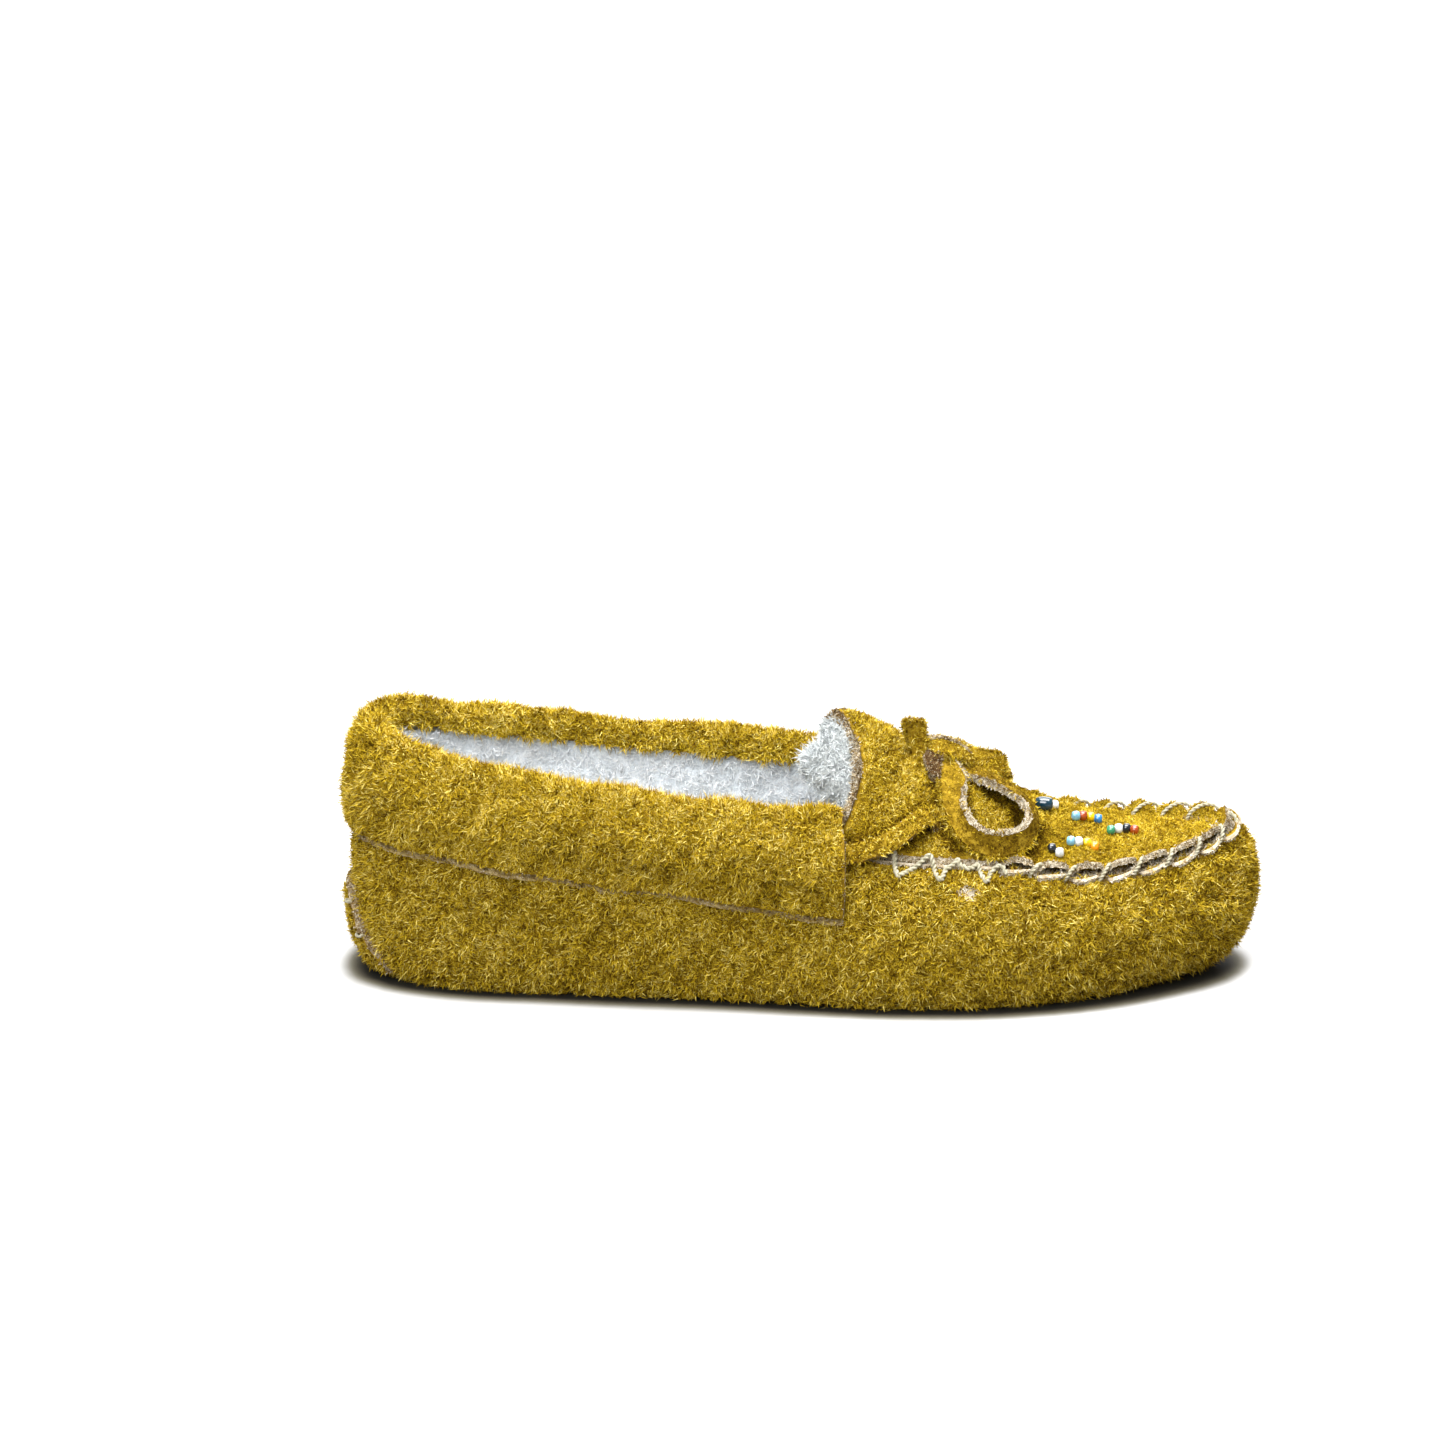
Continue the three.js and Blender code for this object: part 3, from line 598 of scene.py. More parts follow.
def nap_on(
    name, points, quads, count, body, keep=None, length=1.9, width=0.24, lean=0.8, bias=0.0,
    cut=None, clearance=0.9, dark=None, sheared_from=None,
):
    """Nap over the faces. `cut` holds points along a raw edge, which the nap stays off; near the places
    in `dark` the fibres take darker shades, a painted shade. Ahead of `sheared_from` it is shorter and more
    even."""
    place, normal = scatter(points, quads, count, keep)
    length = np.full(count, length)
    if cut is not None:
        distance = distance_to(place, cut)
        clear = distance > clearance
        place, normal = place[clear], normal[clear]
        length = length[clear] * np.clip(0.35 + distance[clear] / 5, 0.35, 1)
    if dark is not None:
        # painted shade: the fibres near those places take darker shades
        bias = bias - 3.0 * np.exp(-(distance_to(place, dark) / 1.8) ** 2)
    spread = 1.0
    if sheared_from is not None:
        sheared = smoothstep(sheared_from, sheared_from + 10, place[:, 0])
        length = length * (1 - 0.28 * sheared)
        spread = 1 - 0.42 * sheared
    piece = fibres(name, place, normal, length, width, lean, nap_shades, nap_pick(place, bias, spread))
    return ride_as(piece, body, "suede")


def nap_on_halves(name, points, quads, count, keep, **style):
    """Nap on the near half of a piece and on its far half."""
    across = points[quads].mean(1)[:, 1]
    for half, part in (("near", across < 0), ("far", across >= 0)):
        for layer in LAYERS:
            nap_on(f"{name}_{half}_{layer}", points, quads, count, "shoe", keep * part, **style)


def edge_fuzz(name, points, quads, count, body, length=0.9, slot_name="suede", bias=0.0):
    """The short grey-brown fuzz of a raw edge."""
    place, normal = scatter(points, quads, count)
    pick = np.round(3.0 + bias + noise(place, 2.2, 1) * 0.9 + rng.normal(0, 0.9, count)).astype(int)
    piece = fibres(name, place, normal, length, 0.26, 0.7, edge_shades, pick)
    return ride_as(piece, body, slot_name)


# ---------------------------------------------------------------- the sides and sole

def pucker(u):
    """How far each place on the seam is into its pucker, from 0 at a stitch to 1 at the next; how
    wide the two edges gape there; how far the pucker climbs; and how much of that applies at u."""
    distance = seam_distance(u)
    share = np.mod(-distance / STITCH_PITCH, 1)
    leaf = np.sin(math.pi * share ** 0.62) ** 0.8
    climb = share - 0.5 - smoothstep(0.84, 1, share)
    zone = 1 - smoothstep(*GATHERS_END, np.abs(distance))
    return share, leaf, climb, zone


def stitch_holes():
    """Where each stitch goes through the sides, 4 mm under the gathered edge."""
    travelled, samples = seam_route()
    middle = (STITCH_COUNT - 1) / 2
    place = (middle - np.arange(STITCH_COUNT)) * STITCH_PITCH - 1.2
    u = np.interp(place, travelled, samples)
    return side(u, HOLE_LEVEL + 0 * u, 0.6 + 0 * u)


def build_sides():
    columns = 1000
    u = np.arange(columns)[:, None] / columns
    level = np.concatenate([np.linspace(-1, 0, 14)[:-1], np.linspace(0, 1, 44)])[None, :]
    share, leaf, climb, zone = pucker(u)
    bump = np.sin(math.pi * share) ** 0.7
    far = smoothstep(0.50, 0.53, u)
    flute = zone * smoothstep(0.3, 0.95, level) * (2.0 * leaf - 1.1)
    from_hole = (np.mod(share - 0.86 + 0.5, 1) - 0.5) * STITCH_PITCH
    dimple = zone * 2.8 * np.exp(-(from_hole / 1.6) ** 2 - ((level - HOLE_LEVEL) / 0.08) ** 2)
    base = side(u, level, 0)
    soft = noise(base, 30, 0) * 0.5 + noise(base, 9, 1) * 0.14
    out = side(u, level, flute - dimple + soft * smoothstep(-1, -0.5, level))
    front = smoothstep(*EDGE_STANDS, top_line(u[:, 0])[:, 0])[:, None]
    thickness = SUEDE - 0.5 * smoothstep(0.8, 1, level) * front
    inner = side(u, level, -thickness)
    # the gathered edge stands up beside the vamp's, and leans out between the stitches
    outwards = outwards_at(u[:, 0])[:, None, :]
    rise = np.linspace(0, 1, EDGE_ROWS + 1)[1:][None, :, None]
    near_height = 1.2 + zone * (1.6 - 1.7 * leaf + 2.0 * climb)
    far_height = 1.1 + zone * 3.0 * bump
    height = (front * (near_height + (far_height - near_height) * far))[:, :, None]
    near_reach = 0.5 + zone * (2.4 * leaf - 0.9)
    far_reach = 0.3 + zone * 0.4 * bump
    reach = (front * (near_reach + (far_reach - near_reach) * far))[:, :, None]
    lift = UP * height * rise + outwards * reach * rise ** 1.3
    outer = np.concatenate([out, out[:, -1:, :] + lift], 1)
    inside = np.concatenate([inner, inner[:, -1:, :] + lift], 1)
    # its edge is cut at a slant, so that the raw face shows from outside
    outer[:, -1, 2] -= 0.8 * front[:, 0]
    outer[:, -2, 2] -= 0.3 * front[:, 0]
    outer[..., 2] = np.maximum(outer[..., 2], 0)
    points, quads, edges = slab(outer, inside, wrap=True, fans=True)
    # the standing edge is raw inside and round its rim, as well as on its cut
    tall = outer.shape[1]
    row = quads[:, 0] % tall
    sheet = edges == 0
    inside_face = (quads[:, 0] >= columns * tall) & (quads[:, 0] < 2 * columns * tall)
    bare = sheet & np.where(inside_face, row >= tall - EDGE_ROWS - 1, row >= tall - 3)
    piece = make_piece("sides_suede", points, quads, [suede, pale_edge], ~sheet | bare)
    ride_as(piece, "shoe", "suede", "sole_and_sides")
    skin = outer.reshape(-1, 3)
    face = oriented(skin, grid_quads(columns, tall, wrap=True))
    middle = skin[face].mean(1)
    seen = (middle[:, 2] > 0.6) & ((middle[:, 0] > 8) | (middle[:, 2] < cuff_edge_z(middle[:, 0]) + 5))
    worn_place = side_point(WORN_X, -1, WORN_LEVEL, 0)
    worn = np.linalg.norm((middle - worn_place) * [0.8, 1, 1.2], axis=1) < 1.9
    raw = outer[:, -1][outer[:, -1, 0] > SEAM_RAW_FROM]
    # painted shade: the nap darkens in the stitches' dimples and under the lace's edges
    dark = np.concatenate([stitch_holes(), *lace_front(-1, -1.6), *lace_front(1, -1.6)])
    nap_on_halves("sides_nap", skin, face, 88000, (seen & ~worn).astype(float), cut=raw, dark=dark)
    edge_fuzz("worn_patch", skin, face[worn], 500, "shoe", 0.7, bias=0.9)
    rim = quads[~sheet]
    rim = rim[points[rim].mean(1)[:, 0] > SEAM_RAW_FROM - 2]
    edge_fuzz("seam_fuzz", points, rim, 16000, "shoe", 0.6, bias=0.9)
    fold = inside[:, -EDGE_ROWS - 1:].reshape(-1, 3)
    face = grid_quads(columns, EDGE_ROWS + 1, wrap=True)
    face = face[fold[face].mean(1)[:, 0] > SEAM_RAW_FROM]
    edge_fuzz("seam_inner_fuzz", fold, oriented(fold, face)[:, ::-1], 14000, "shoe", 0.9, bias=-0.2)


def build_seam_backing():
    """The fuzzy suede between the vamp's edge and the sides', which shows where they gape."""
    u = np.linspace(BACKING_END, 1 - BACKING_END, 700)
    reach = np.linspace(-4.5, 0.3, 8)[None, :, None]
    rise = np.linspace(0.9, -0.2, 8)[None, :, None] * UP
    top = top_line(u)[:, None, :] + outwards_at(u)[:, None, :] * reach + rise
    points, quads, _ = slab(top, top - [0, 0, 0.9])
    piece = make_piece("seam_backing", points, quads, [suede_edge])
    ride_as(piece, "shoe", "suede")
    skin = top.reshape(-1, 3)
    face = oriented(skin, grid_quads(len(u), 8))
    edge_fuzz("seam_backing_fuzz", skin, face, 16000, "shoe", 1.2, bias=0.1)


# ---------------------------------------------------------------- the cuff

def cuff_edge_z(x):
    """Height of the cuff's lower edge."""
    return np.interp(x, [-107, 8], [36, 22.4])


def cuff_edge_level(u):
    """Where the cuff's lower edge is on the side, as a level, and how tall the side is there."""
    widest, rim = widest_line(u), collar_line(u)
    tall = rim[:, 2] - widest[:, 2]
    return (cuff_edge_z(rim[:, 0]) - widest[:, 2]) / tall, tall


def cuff_line(u):
    """The middle of the cuff's thickness: from its lower edge, over the fold, to the lip inside."""
    half = SUEDE / 2
    edge, _ = cuff_edge_level(u)
    at_heel = 1 - smoothstep(0, 0.1, np.abs(u))
    on_near = smoothstep(0, 0.03, u)
    channel = 2.9 - 1.2 * at_heel
    stations = [(0, 0.9), (0.15, 1.0), (0.3, 1.6), (0.48, channel), (0.76, channel), (0.92, 1.6), (1, 0.7)]
    line = []
    for share, off in stations:
        level = edge + (CUFF_TOP - edge) * share
        line.append(side(u * (1 - 0.035 * (1 - share)), level, off - 0.3 * at_heel + half, collar_line))
    out = side(u, 0.9 + 0 * u, 1 + 0 * u, collar_line) - side(u, 0.9 + 0 * u, 0 * u, collar_line)
    out[:, 2] = 0
    out = unit(out)
    outside = line[-1]
    inside = side(u, CUFF_TOP + 0 * u, -5.2 + 2.7 * at_heel, collar_line)
    inside[:, 2] = outside[:, 2]
    middle = (outside + inside) / 2
    reach = np.linalg.norm(outside - inside, axis=1)[:, None] / 2
    for degrees in (35, 75, 110, 145):
        angle = math.radians(degrees)
        point = middle + out * reach * math.cos(angle)
        point[:, 2] = middle[:, 2] + (2.7 - 0.8 * on_near) * math.sin(angle)
        line.append(point)
    line.append(inside)
    for drop in (0.8, 1.6):
        lip = inside - out * 0.2 * drop
        lip[:, 2] -= drop
        line.append(lip)
    return line


def build_cuff():
    rows = 620
    u = np.linspace(-CUFF_END, CUFF_END, rows)
    control = np.stack(cuff_line(u))
    along = catmull(control.reshape(len(control), -1))
    share = np.linspace(0, 1, CUFF_COLUMNS)
    centre = along(share).reshape(CUFF_COLUMNS, rows, 3).transpose(1, 0, 2)
    normal = grid_normal(centre)
    share = share[None, :]
    ease = smoothstep(0, 0.35, 1 - share)
    puff = (noise(centre, 24, 2) * 0.55 + noise(centre, 9, 1) * 0.22) * ease
    centre = centre + normal * puff[..., None]
    centre[..., 2] += (noise(centre, 15, 0) * 0.35) * (1 - smoothstep(0, 0.12, share))
    outer = centre + normal * SUEDE / 2
    inner = centre - normal * SUEDE / 2
    # the lower edge is cut at a slant, so that its raw face shows from above
    downwards = unit(centre[:, 0] - centre[:, 2])
    inner[:, 0] += downwards * 1.9
    inner[:, 1] += downwards * 0.9
    outer[:, 0] -= normal[:, 0] * 0.35
    points, quads, edges = slab(outer, inner)
    piece = make_piece("cuff_suede", points, quads, [suede, tan_edge], edges > 0)
    ride_as(piece, "shoe", "suede", "cuff")
    skin = outer.reshape(-1, 3)
    face = oriented(skin, grid_quads(rows, CUFF_COLUMNS))
    raw = np.concatenate([outer[:, 0], outer[0], outer[-1]])
    nap_on_halves("cuff_nap", skin, face, 78000, 1.0, length=2.0, cut=raw, clearance=0.6)
    edge_fuzz("cuff_edge_fuzz", points, quads[edges > 0], 20000, "shoe", 0.7, bias=0.1)


# ---------------------------------------------------------------- the vamp and tongue

SLOT_X, SLOT_ACROSS = 30.8, 0.775   # where the lace goes in through the vamp


def vamp_grid(rows, columns, inset, front, fleece_back=None):
    """Places over the vamp and tongue, from the tongue's rim to the toe, seam to seam. With
    `fleece_back` they start behind the rim, by that many millimetres for each place across."""
    across = np.sin(np.linspace(-1, 1, columns) * math.pi / 2)[None, :]
    share = np.linspace(0, 1, rows)[:, None]
    start = rim_x(across) - (fleece_back(across) if fleece_back else 0)
    x = start + (front - start) * np.sin(share * math.pi / 2) ** 0.9
    base = arch(x, across, inset)
    normal = grid_normal(base)
    normal = np.where(normal[..., 2:] < 0, -normal, normal)
    return x, across, base, normal


def build_vamp():
    rows, columns = 300, 240
    x, across, base, normal = vamp_grid(rows, columns, SEAM_INSET, 100.2)
    from_side = (1 - np.abs(across)) * (seam_half(x) - SEAM_INSET)
    from_toe = 100.4 - x
    distance = np.minimum(from_side, from_toe)
    u = seam_u(x)
    share, leaf, climb, zone = pucker(np.where(across < 0, u, 1 - u))
    bump = np.sin(math.pi * share) ** 0.7
    far = smoothstep(-0.1, 0.3, across)
    near_lip = 2.1 + zone * (0.2 + 1.9 * leaf + 2.0 * climb)
    far_lip = 1.4 + zone * (0.1 + 3.3 * bump)
    lip = near_lip + (far_lip - near_lip) * far
    turned_up = lip * np.exp(-(distance / (1.3 + 0.8 * far)) ** 2)
    slot = np.exp(-(((x - SLOT_X) / 2.2) ** 2 + ((np.abs(across) - SLOT_ACROSS) / 0.07) ** 2))
    soft = noise(base, 20, 1) * 0.4 * smoothstep(0, 8, distance) + noise(base, 7, 0) * 0.14
    outer = base + normal * (soft - 2.2 * slot)[..., None]
    outer[..., 2] += turned_up
    at_rim = 1 - smoothstep(0, 3, x - rim_x(across))
    inner = outer - normal * (1.3 + 1.1 * at_rim)[..., None]
    # the cut along the seam slants out to the gathered edge beside it
    for column, hand in ((0, -1), (-1, 1)):
        inner[:, column] = outer[:, column] + [0, hand * 0.6, -1.2]
    inner[-1] = outer[-1] + [0.6, 0, -1.2]
    # the tongue's rim is cut at a slant, so that its raw face shows
    inner[0, :, 0] -= 1.3
    inner[1, :, 0] -= 0.6
    points, quads, edges = slab(outer, inner)
    at_back = points[quads].mean(1)[:, 0] < 18
    look = (edges > 0) * (1 + at_back)
    # painted shade: faces in the lace's slot take the darkest material
    in_slot = np.concatenate([slot.ravel(), 0 * slot.ravel()])[quads[:, 0]] > 0.4
    piece = make_piece("vamp_suede", points, quads, [suede, pale_edge, raw_edge, dark_edge_and_slot_shade],
                       np.where(in_slot, 3, look))
    ride_as(piece, TONGUE, "suede", "vamp_apron", "tongue")
    skin = outer.reshape(-1, 3)
    face = oriented(skin, grid_quads(rows, columns))
    slots = skin[slot.ravel() > 0.5]
    raw = np.concatenate([outer[:, 0], outer[-1], outer[0], slots])
    # painted shade: very dark fuzz in the lace's slot
    edge_fuzz("slot_shade_fuzz", skin, face[slot.ravel()[face[:, 0]] > 0.25], 2400, "shoe", 0.9, bias=-2.6)
    # painted shade: the nap darkens under the bow and along the lace's edges
    for layer in LAYERS:
        nap_on(f"vamp_nap_{layer}", skin, face, 80000, TONGUE, length=1.4, width=0.22, cut=raw,
               dark=shaded_vamp(), sheared_from=42)
    edge_fuzz("vamp_edge_fuzz", points, quads[(edges > 0) & ~at_back], 12000, "shoe", 0.6, bias=-0.2)
    edge_fuzz("tongue_edge_fuzz", points, quads[(edges > 0) & at_back], 10000, TONGUE, 1.0, bias=-0.6)


def fleece_back(across):
    """How far the fleece comes out behind the tongue's rim. It rolls over in a bulge on the near side."""
    a = np.abs(across)
    near = 2 + 11.5 * np.exp(-((a - 0.56) / 0.26) ** 2)
    return np.where(across < 0, near, 2 + 2.5 * a) * (1.02 - a ** 8)


def build_vamp_fleece():
    rows, columns = 120, 110
    x, across, base, normal = vamp_grid(rows, columns, 4.2, 96, fleece_back)
    # behind the tongue's rim the fleece rolls down in a thick round edge
    behind = np.clip((rim_x(across) - x) / fleece_back(across), 0, 1)
    depth = SUEDE + 0.4 + 3.4 * (1 - np.sqrt(1 - behind ** 2))
    near_rim = 1 - smoothstep(0, 14, x - rim_x(across))
    thick = (FLEECE + 3.2 * near_rim) * np.sqrt(1 - behind ** 2) + noise(base, 6, 2) * 0.4
    outer = base - normal * depth[..., None]
    inner = outer - normal * np.maximum(thick, 0.5)[..., None]
    points, quads, _ = slab(outer, inner)
    # the tongue's fleece and pile take the darker copies, a painted shade
    piece = make_piece("vamp_fleece", points, quads, [fleece_painted_darker])
    ride_as(piece, TONGUE, "fleece", "lining_vamp", "tongue_lining")
    skin = inner.reshape(-1, 3)
    face = grid_quads(rows, columns)
    open_part = skin[face].mean(1)[:, 0] < PILE_TO + 10
    grow_pile("vamp_pile", skin, oriented(skin, face)[:, ::-1], 40000, TONGUE, open_part, pile_painted_darker)
    skin = outer.reshape(-1, 3)
    rolled = (x - rim_x(across)).ravel()[face[:, 0]] < 0.5
    grow_pile("tongue_pile", skin, oriented(skin, face), 16000, TONGUE, rolled, pile_painted_darker)


# ---------------------------------------------------------------- the lining and insole

def grow_pile(name, points, quads, count, body, keep, shades=fleece_shades):
    """The fleece's long curly pile."""
    place, up = scatter(points, quads, count, np.asarray(keep, float))
    pick = np.round(2.2 + noise(place, 5, 1) * 0.4 + rng.normal(0, 0.6, len(place))).astype(int)
    pile = fibres(name, place, up, 2.1, 0.26, 0.75, shades, pick, curl=1.6)
    return ride_as(pile, body, "fleece")


def build_lining():
    rows = 420
    u = np.arange(rows)[:, None] / rows
    level = np.linspace(-0.3, 0.955, 40)[None, :]
    along = top_line(u[:, 0])[:, None, 0]
    level = level - 0.16 * (level + 0.3) * smoothstep(1, 7, along) * (1 - smoothstep(18, 30, along))
    outer = side(u, level, -(SUEDE + LINING_GAP) + 0 * u)
    thickness = FLEECE - 1.4 * smoothstep(0.6, 0.95, level)
    lumps = noise(outer, 7, 0) * 0.35 + noise(outer, 3, 1) * 0.18
    inner = side(u, level, -(SUEDE + LINING_GAP) - thickness - lumps)
    points, quads, _ = slab(outer, inner, wrap=True)
    piece = make_piece("sides_fleece", points, quads, [fleece])
    ride_as(piece, "shoe", "fleece", "lining_sides")
    skin = inner.reshape(-1, 3)
    face = grid_quads(rows, 40, wrap=True)
    open_part = skin[face].mean(1)[:, 0] < PILE_TO
    grow_pile("sides_pile", skin, oriented(skin, face)[:, ::-1], 90000, "shoe", open_part)


def insole(name, node, material, slot_name, low, high, spread, crown):
    """A pad on the sole: crowned, with soft edges, and sunk a little at the heel and the ball."""
    rows, rings = 260, 30
    u = np.arange(rows)[:, None] / rows
    edge = contact_line(u[:, 0])[:, None, :]
    middle = np.stack([np.clip(edge[..., 0], -78, 62), sway(edge[..., 0]), 0 * edge[..., 0]], -1)
    out = unit(edge - middle)
    share = np.linspace(0, 1, rings)[None, :, None]
    plan = middle + (edge + out * spread - middle) * share
    round_off = (1 - share[..., 0] ** 6) ** 0.5
    dent = 0.5 * np.exp(-((plan[..., 0] + 72) / 18) ** 2) + 0.45 * np.exp(-((plan[..., 0] - 38) / 22) ** 2)
    top = plan.copy()
    top[..., 2] = high - 1.2 * (1 - round_off) + crown - dent * (1 - share[..., 0] ** 2)
    top[..., 2] += noise(top, 8, 1) * 0.15
    bottom = plan.copy()
    bottom[..., 2] = low + 0.6 * (1 - round_off)
    points, quads, _ = slab(top, bottom, wrap=True)
    piece = make_piece(name, points, quads, [material])
    ride_as(piece, "shoe", slot_name, node)
    return top


def build_insole():
    insole("insole_pad", "insole_foam", foam, "foam", low=2.3, high=6.2, spread=-0.8, crown=0.0)
    # the cover and its pile take the darker copies, a painted shade
    top = insole(
        "insole_cover", "insole_fleece", fleece_painted_darker, "fleece", low=6.6, high=9.4, spread=1.2, crown=0.3)
    face = grid_quads(*top.shape[:2], wrap=True)
    skin = top.reshape(-1, 3)
    a, b, c = (skin[face[:, k]] for k in range(3))
    if np.cross(b - a, c - a)[:, 2].sum() < 0:
        face = face[:, ::-1]
    open_part = skin[face].mean(1)[:, 0] < PILE_TO
    grow_pile("insole_pile", skin, face, 50000, "shoe", open_part, pile_painted_darker)


# ---------------------------------------------------------------- the heel tab

TAB_LOW = -0.62                  # the level at which the heel tab leaves the sole


def tab_edge(share):
    """Level of the heel tab's cut edge, at a share of the way from its middle to its side."""
    return 0.13 - 0.6 * np.abs(share) ** 1.8


def build_heel_tab():
    rows, columns = 110, 60
    share = np.sin(np.linspace(-1, 1, rows) * math.pi / 2)[:, None]
    level = TAB_LOW + (tab_edge(share) - TAB_LOW) * np.linspace(0, 1, columns)[None, :]
    u = share * TAB_HALF
    base = side(u, level, 0 * level)
    soft = noise(base, 12, 1) * 0.2
    inner = side(u, level, 0.3 + soft)
    slant = 0.06 * np.linspace(0, 1, columns)[None, :] ** 12
    outer = side(u, level - slant, 0.6 + SUEDE + soft)
    for grid in (inner, outer):
        grid[..., 2] = np.maximum(grid[..., 2], 0.3)
    points, quads, edges = slab(outer, inner)
    piece = make_piece("heel_tab_suede", points, quads, [suede, raw_edge], edges > 0)
    ride_as(piece, "shoe", "suede", "heel_tab")
    skin = outer.reshape(-1, 3)
    raw = np.concatenate([outer[:, -1], outer[0], outer[-1]])
    face = oriented(skin, grid_quads(rows, columns))
    nap_on("heel_tab_nap", skin, face, 16000, "shoe", length=1.5, cut=raw)
    edge_fuzz("heel_tab_fuzz", points, quads[edges > 0], 5000, "shoe", 0.7, bias=-1.0)


# ---------------------------------------------------------------- straps

def ruled_strap(first_edge, second_edge, steps, thickness, bevel=0):
    """A flat strap between two edge curves. With `bevel` the first edge is cut at a slant, towards
    the near side."""
    t = np.linspace(0, 1, steps)
    a, b = catmull(first_edge)(t), catmull(second_edge)(t)
    share = np.linspace(0, 1, 12)[None, :, None]
    centre = a[:, None, :] * (1 - share) + b[:, None, :] * share
    normal = grid_normal(centre)
    round_off = 1 - 0.15 * (2 * share - 1) ** 6
    half = normal * (thickness / 2) * round_off
    outer, inner = centre + half, centre - half
    near_face = outer if normal[..., 1].mean() < 0 else inner
    near_face += (unit(b - a) * bevel)[:, None, :] * (1 - share)
    return outer, inner


def build_strap(
    name, first_edge, second_edge, body, node, steps=90, nap=5000, bias=0.1,
    thickness=1.8, edge_material=None, fuzz=0.4, raw=(1, 2, 3), bevel=0, hollow=None,
):
    """A strap with its nap. `hollow` is the middle of a hollow: the nap on the side that faces it takes
    darker shades, a painted shade.
    """
    outer, inner = ruled_strap(first_edge, second_edge, steps, thickness, bevel)
    points, quads, edges = slab(outer, inner)
    cut_face = np.isin(edges, raw)
    piece = make_piece(name, points, quads, [suede, edge_material or pale_edge], cut_face)
    ride_as(piece, body, "suede_lace", *([node] if node else []))
    if cut_face.any():
        edge_fuzz(f"{name}_fuzz", points, quads[cut_face], max(nap // 3, 500), body, 0.6, "suede_lace", fuzz)
    if cut_face.all():
        return piece
    place, normal = scatter(points, quads[~cut_face], nap)
    length = 1.5
    if cut_face.any():
        cut = distance_to(place, points[quads[cut_face][::2, 0]])
        place, normal, cut = place[cut > 0.35], normal[cut > 0.35], cut[cut > 0.35]
        length = 1.5 * np.clip(0.4 + cut / 3, 0.4, 1)
    # painted shade: the nap that faces the hollow takes darker shades
    if hollow is not None:
        bias = bias - 2.0 * smoothstep(0, 0.5, (normal * unit(hollow - place)).sum(-1))
    hair = fibres(f"{name}_nap", place, normal, length, 0.24, 0.85, nap_shades, nap_pick(place, bias))
    ride_as(hair, body, "suede_lace")
    return piece


def mirrored(points):
    flipped = np.array(points, float)
    flipped[:, 1] = 2 * sway(flipped[:, 0]) - flipped[:, 1]
    return flipped


# The near loop: the middle of its hollow, its free edge, and the edge that rests on the vamp.
LOOP_MIDDLE = np.array([45, -15.5, 43])
LOOP_OPENING = np.array([
    (36.4, -4.6, 50.2), (39, -6.6, 47.8), (44, -10.4, 47.2), (49.5, -12, 44.6), (52.7, -15.4, 42.1),
    (52.2, -21.2, 40.5), (48.4, -25, 39.7), (44.7, -26.2, 39.8), (40.5, -25.4, 41.4), (38.2, -22, 43.8),
    (38, -15.6, 46.3), (38.4, -10.4, 47.6), (36.2, -5.6, 50.6),
])
LOOP_FOOT = np.array([
    (34.4, -2.4, 50.8), (39.5, -1.2, 48.9), (44, -3.2, 47.2), (49.5, -4.8, 44.5), (53.8, -8.6, 41.2),
    (55, -14, 38.4), (53.2, -20, 36.2), (50.2, -23.8, 34.9), (44.4, -26.2, 34.3), (38, -25.6, 37),
    (34, -21.6, 41.9), (32.4, -13.6, 47.6), (32, -7.2, 50.8),
])


def shaded_vamp():
    """Places on the vamp in the shade of the bow and the laces."""
    t = np.linspace(0, 1, 60)
    foot = catmull(LOOP_FOOT)(t)
    outside = LOOP_MIDDLE + (foot - LOOP_MIDDLE) * 1.08
    inside = LOOP_MIDDLE + (foot - LOOP_MIDDLE) * 0.62
    plan = np.concatenate([outside, inside, mirrored(outside), mirrored(inside), [(37, -3, 0), (39, -3, 0)]])
    places = [vamp_at(plan[:, 0], plan[:, 1], 0 * plan[:, 0])]
    for hand in (-1, 1):
        for edge in lace_front(hand, -2.2):
            places.append(catmull(edge)(t))
    return np.concatenate(places)


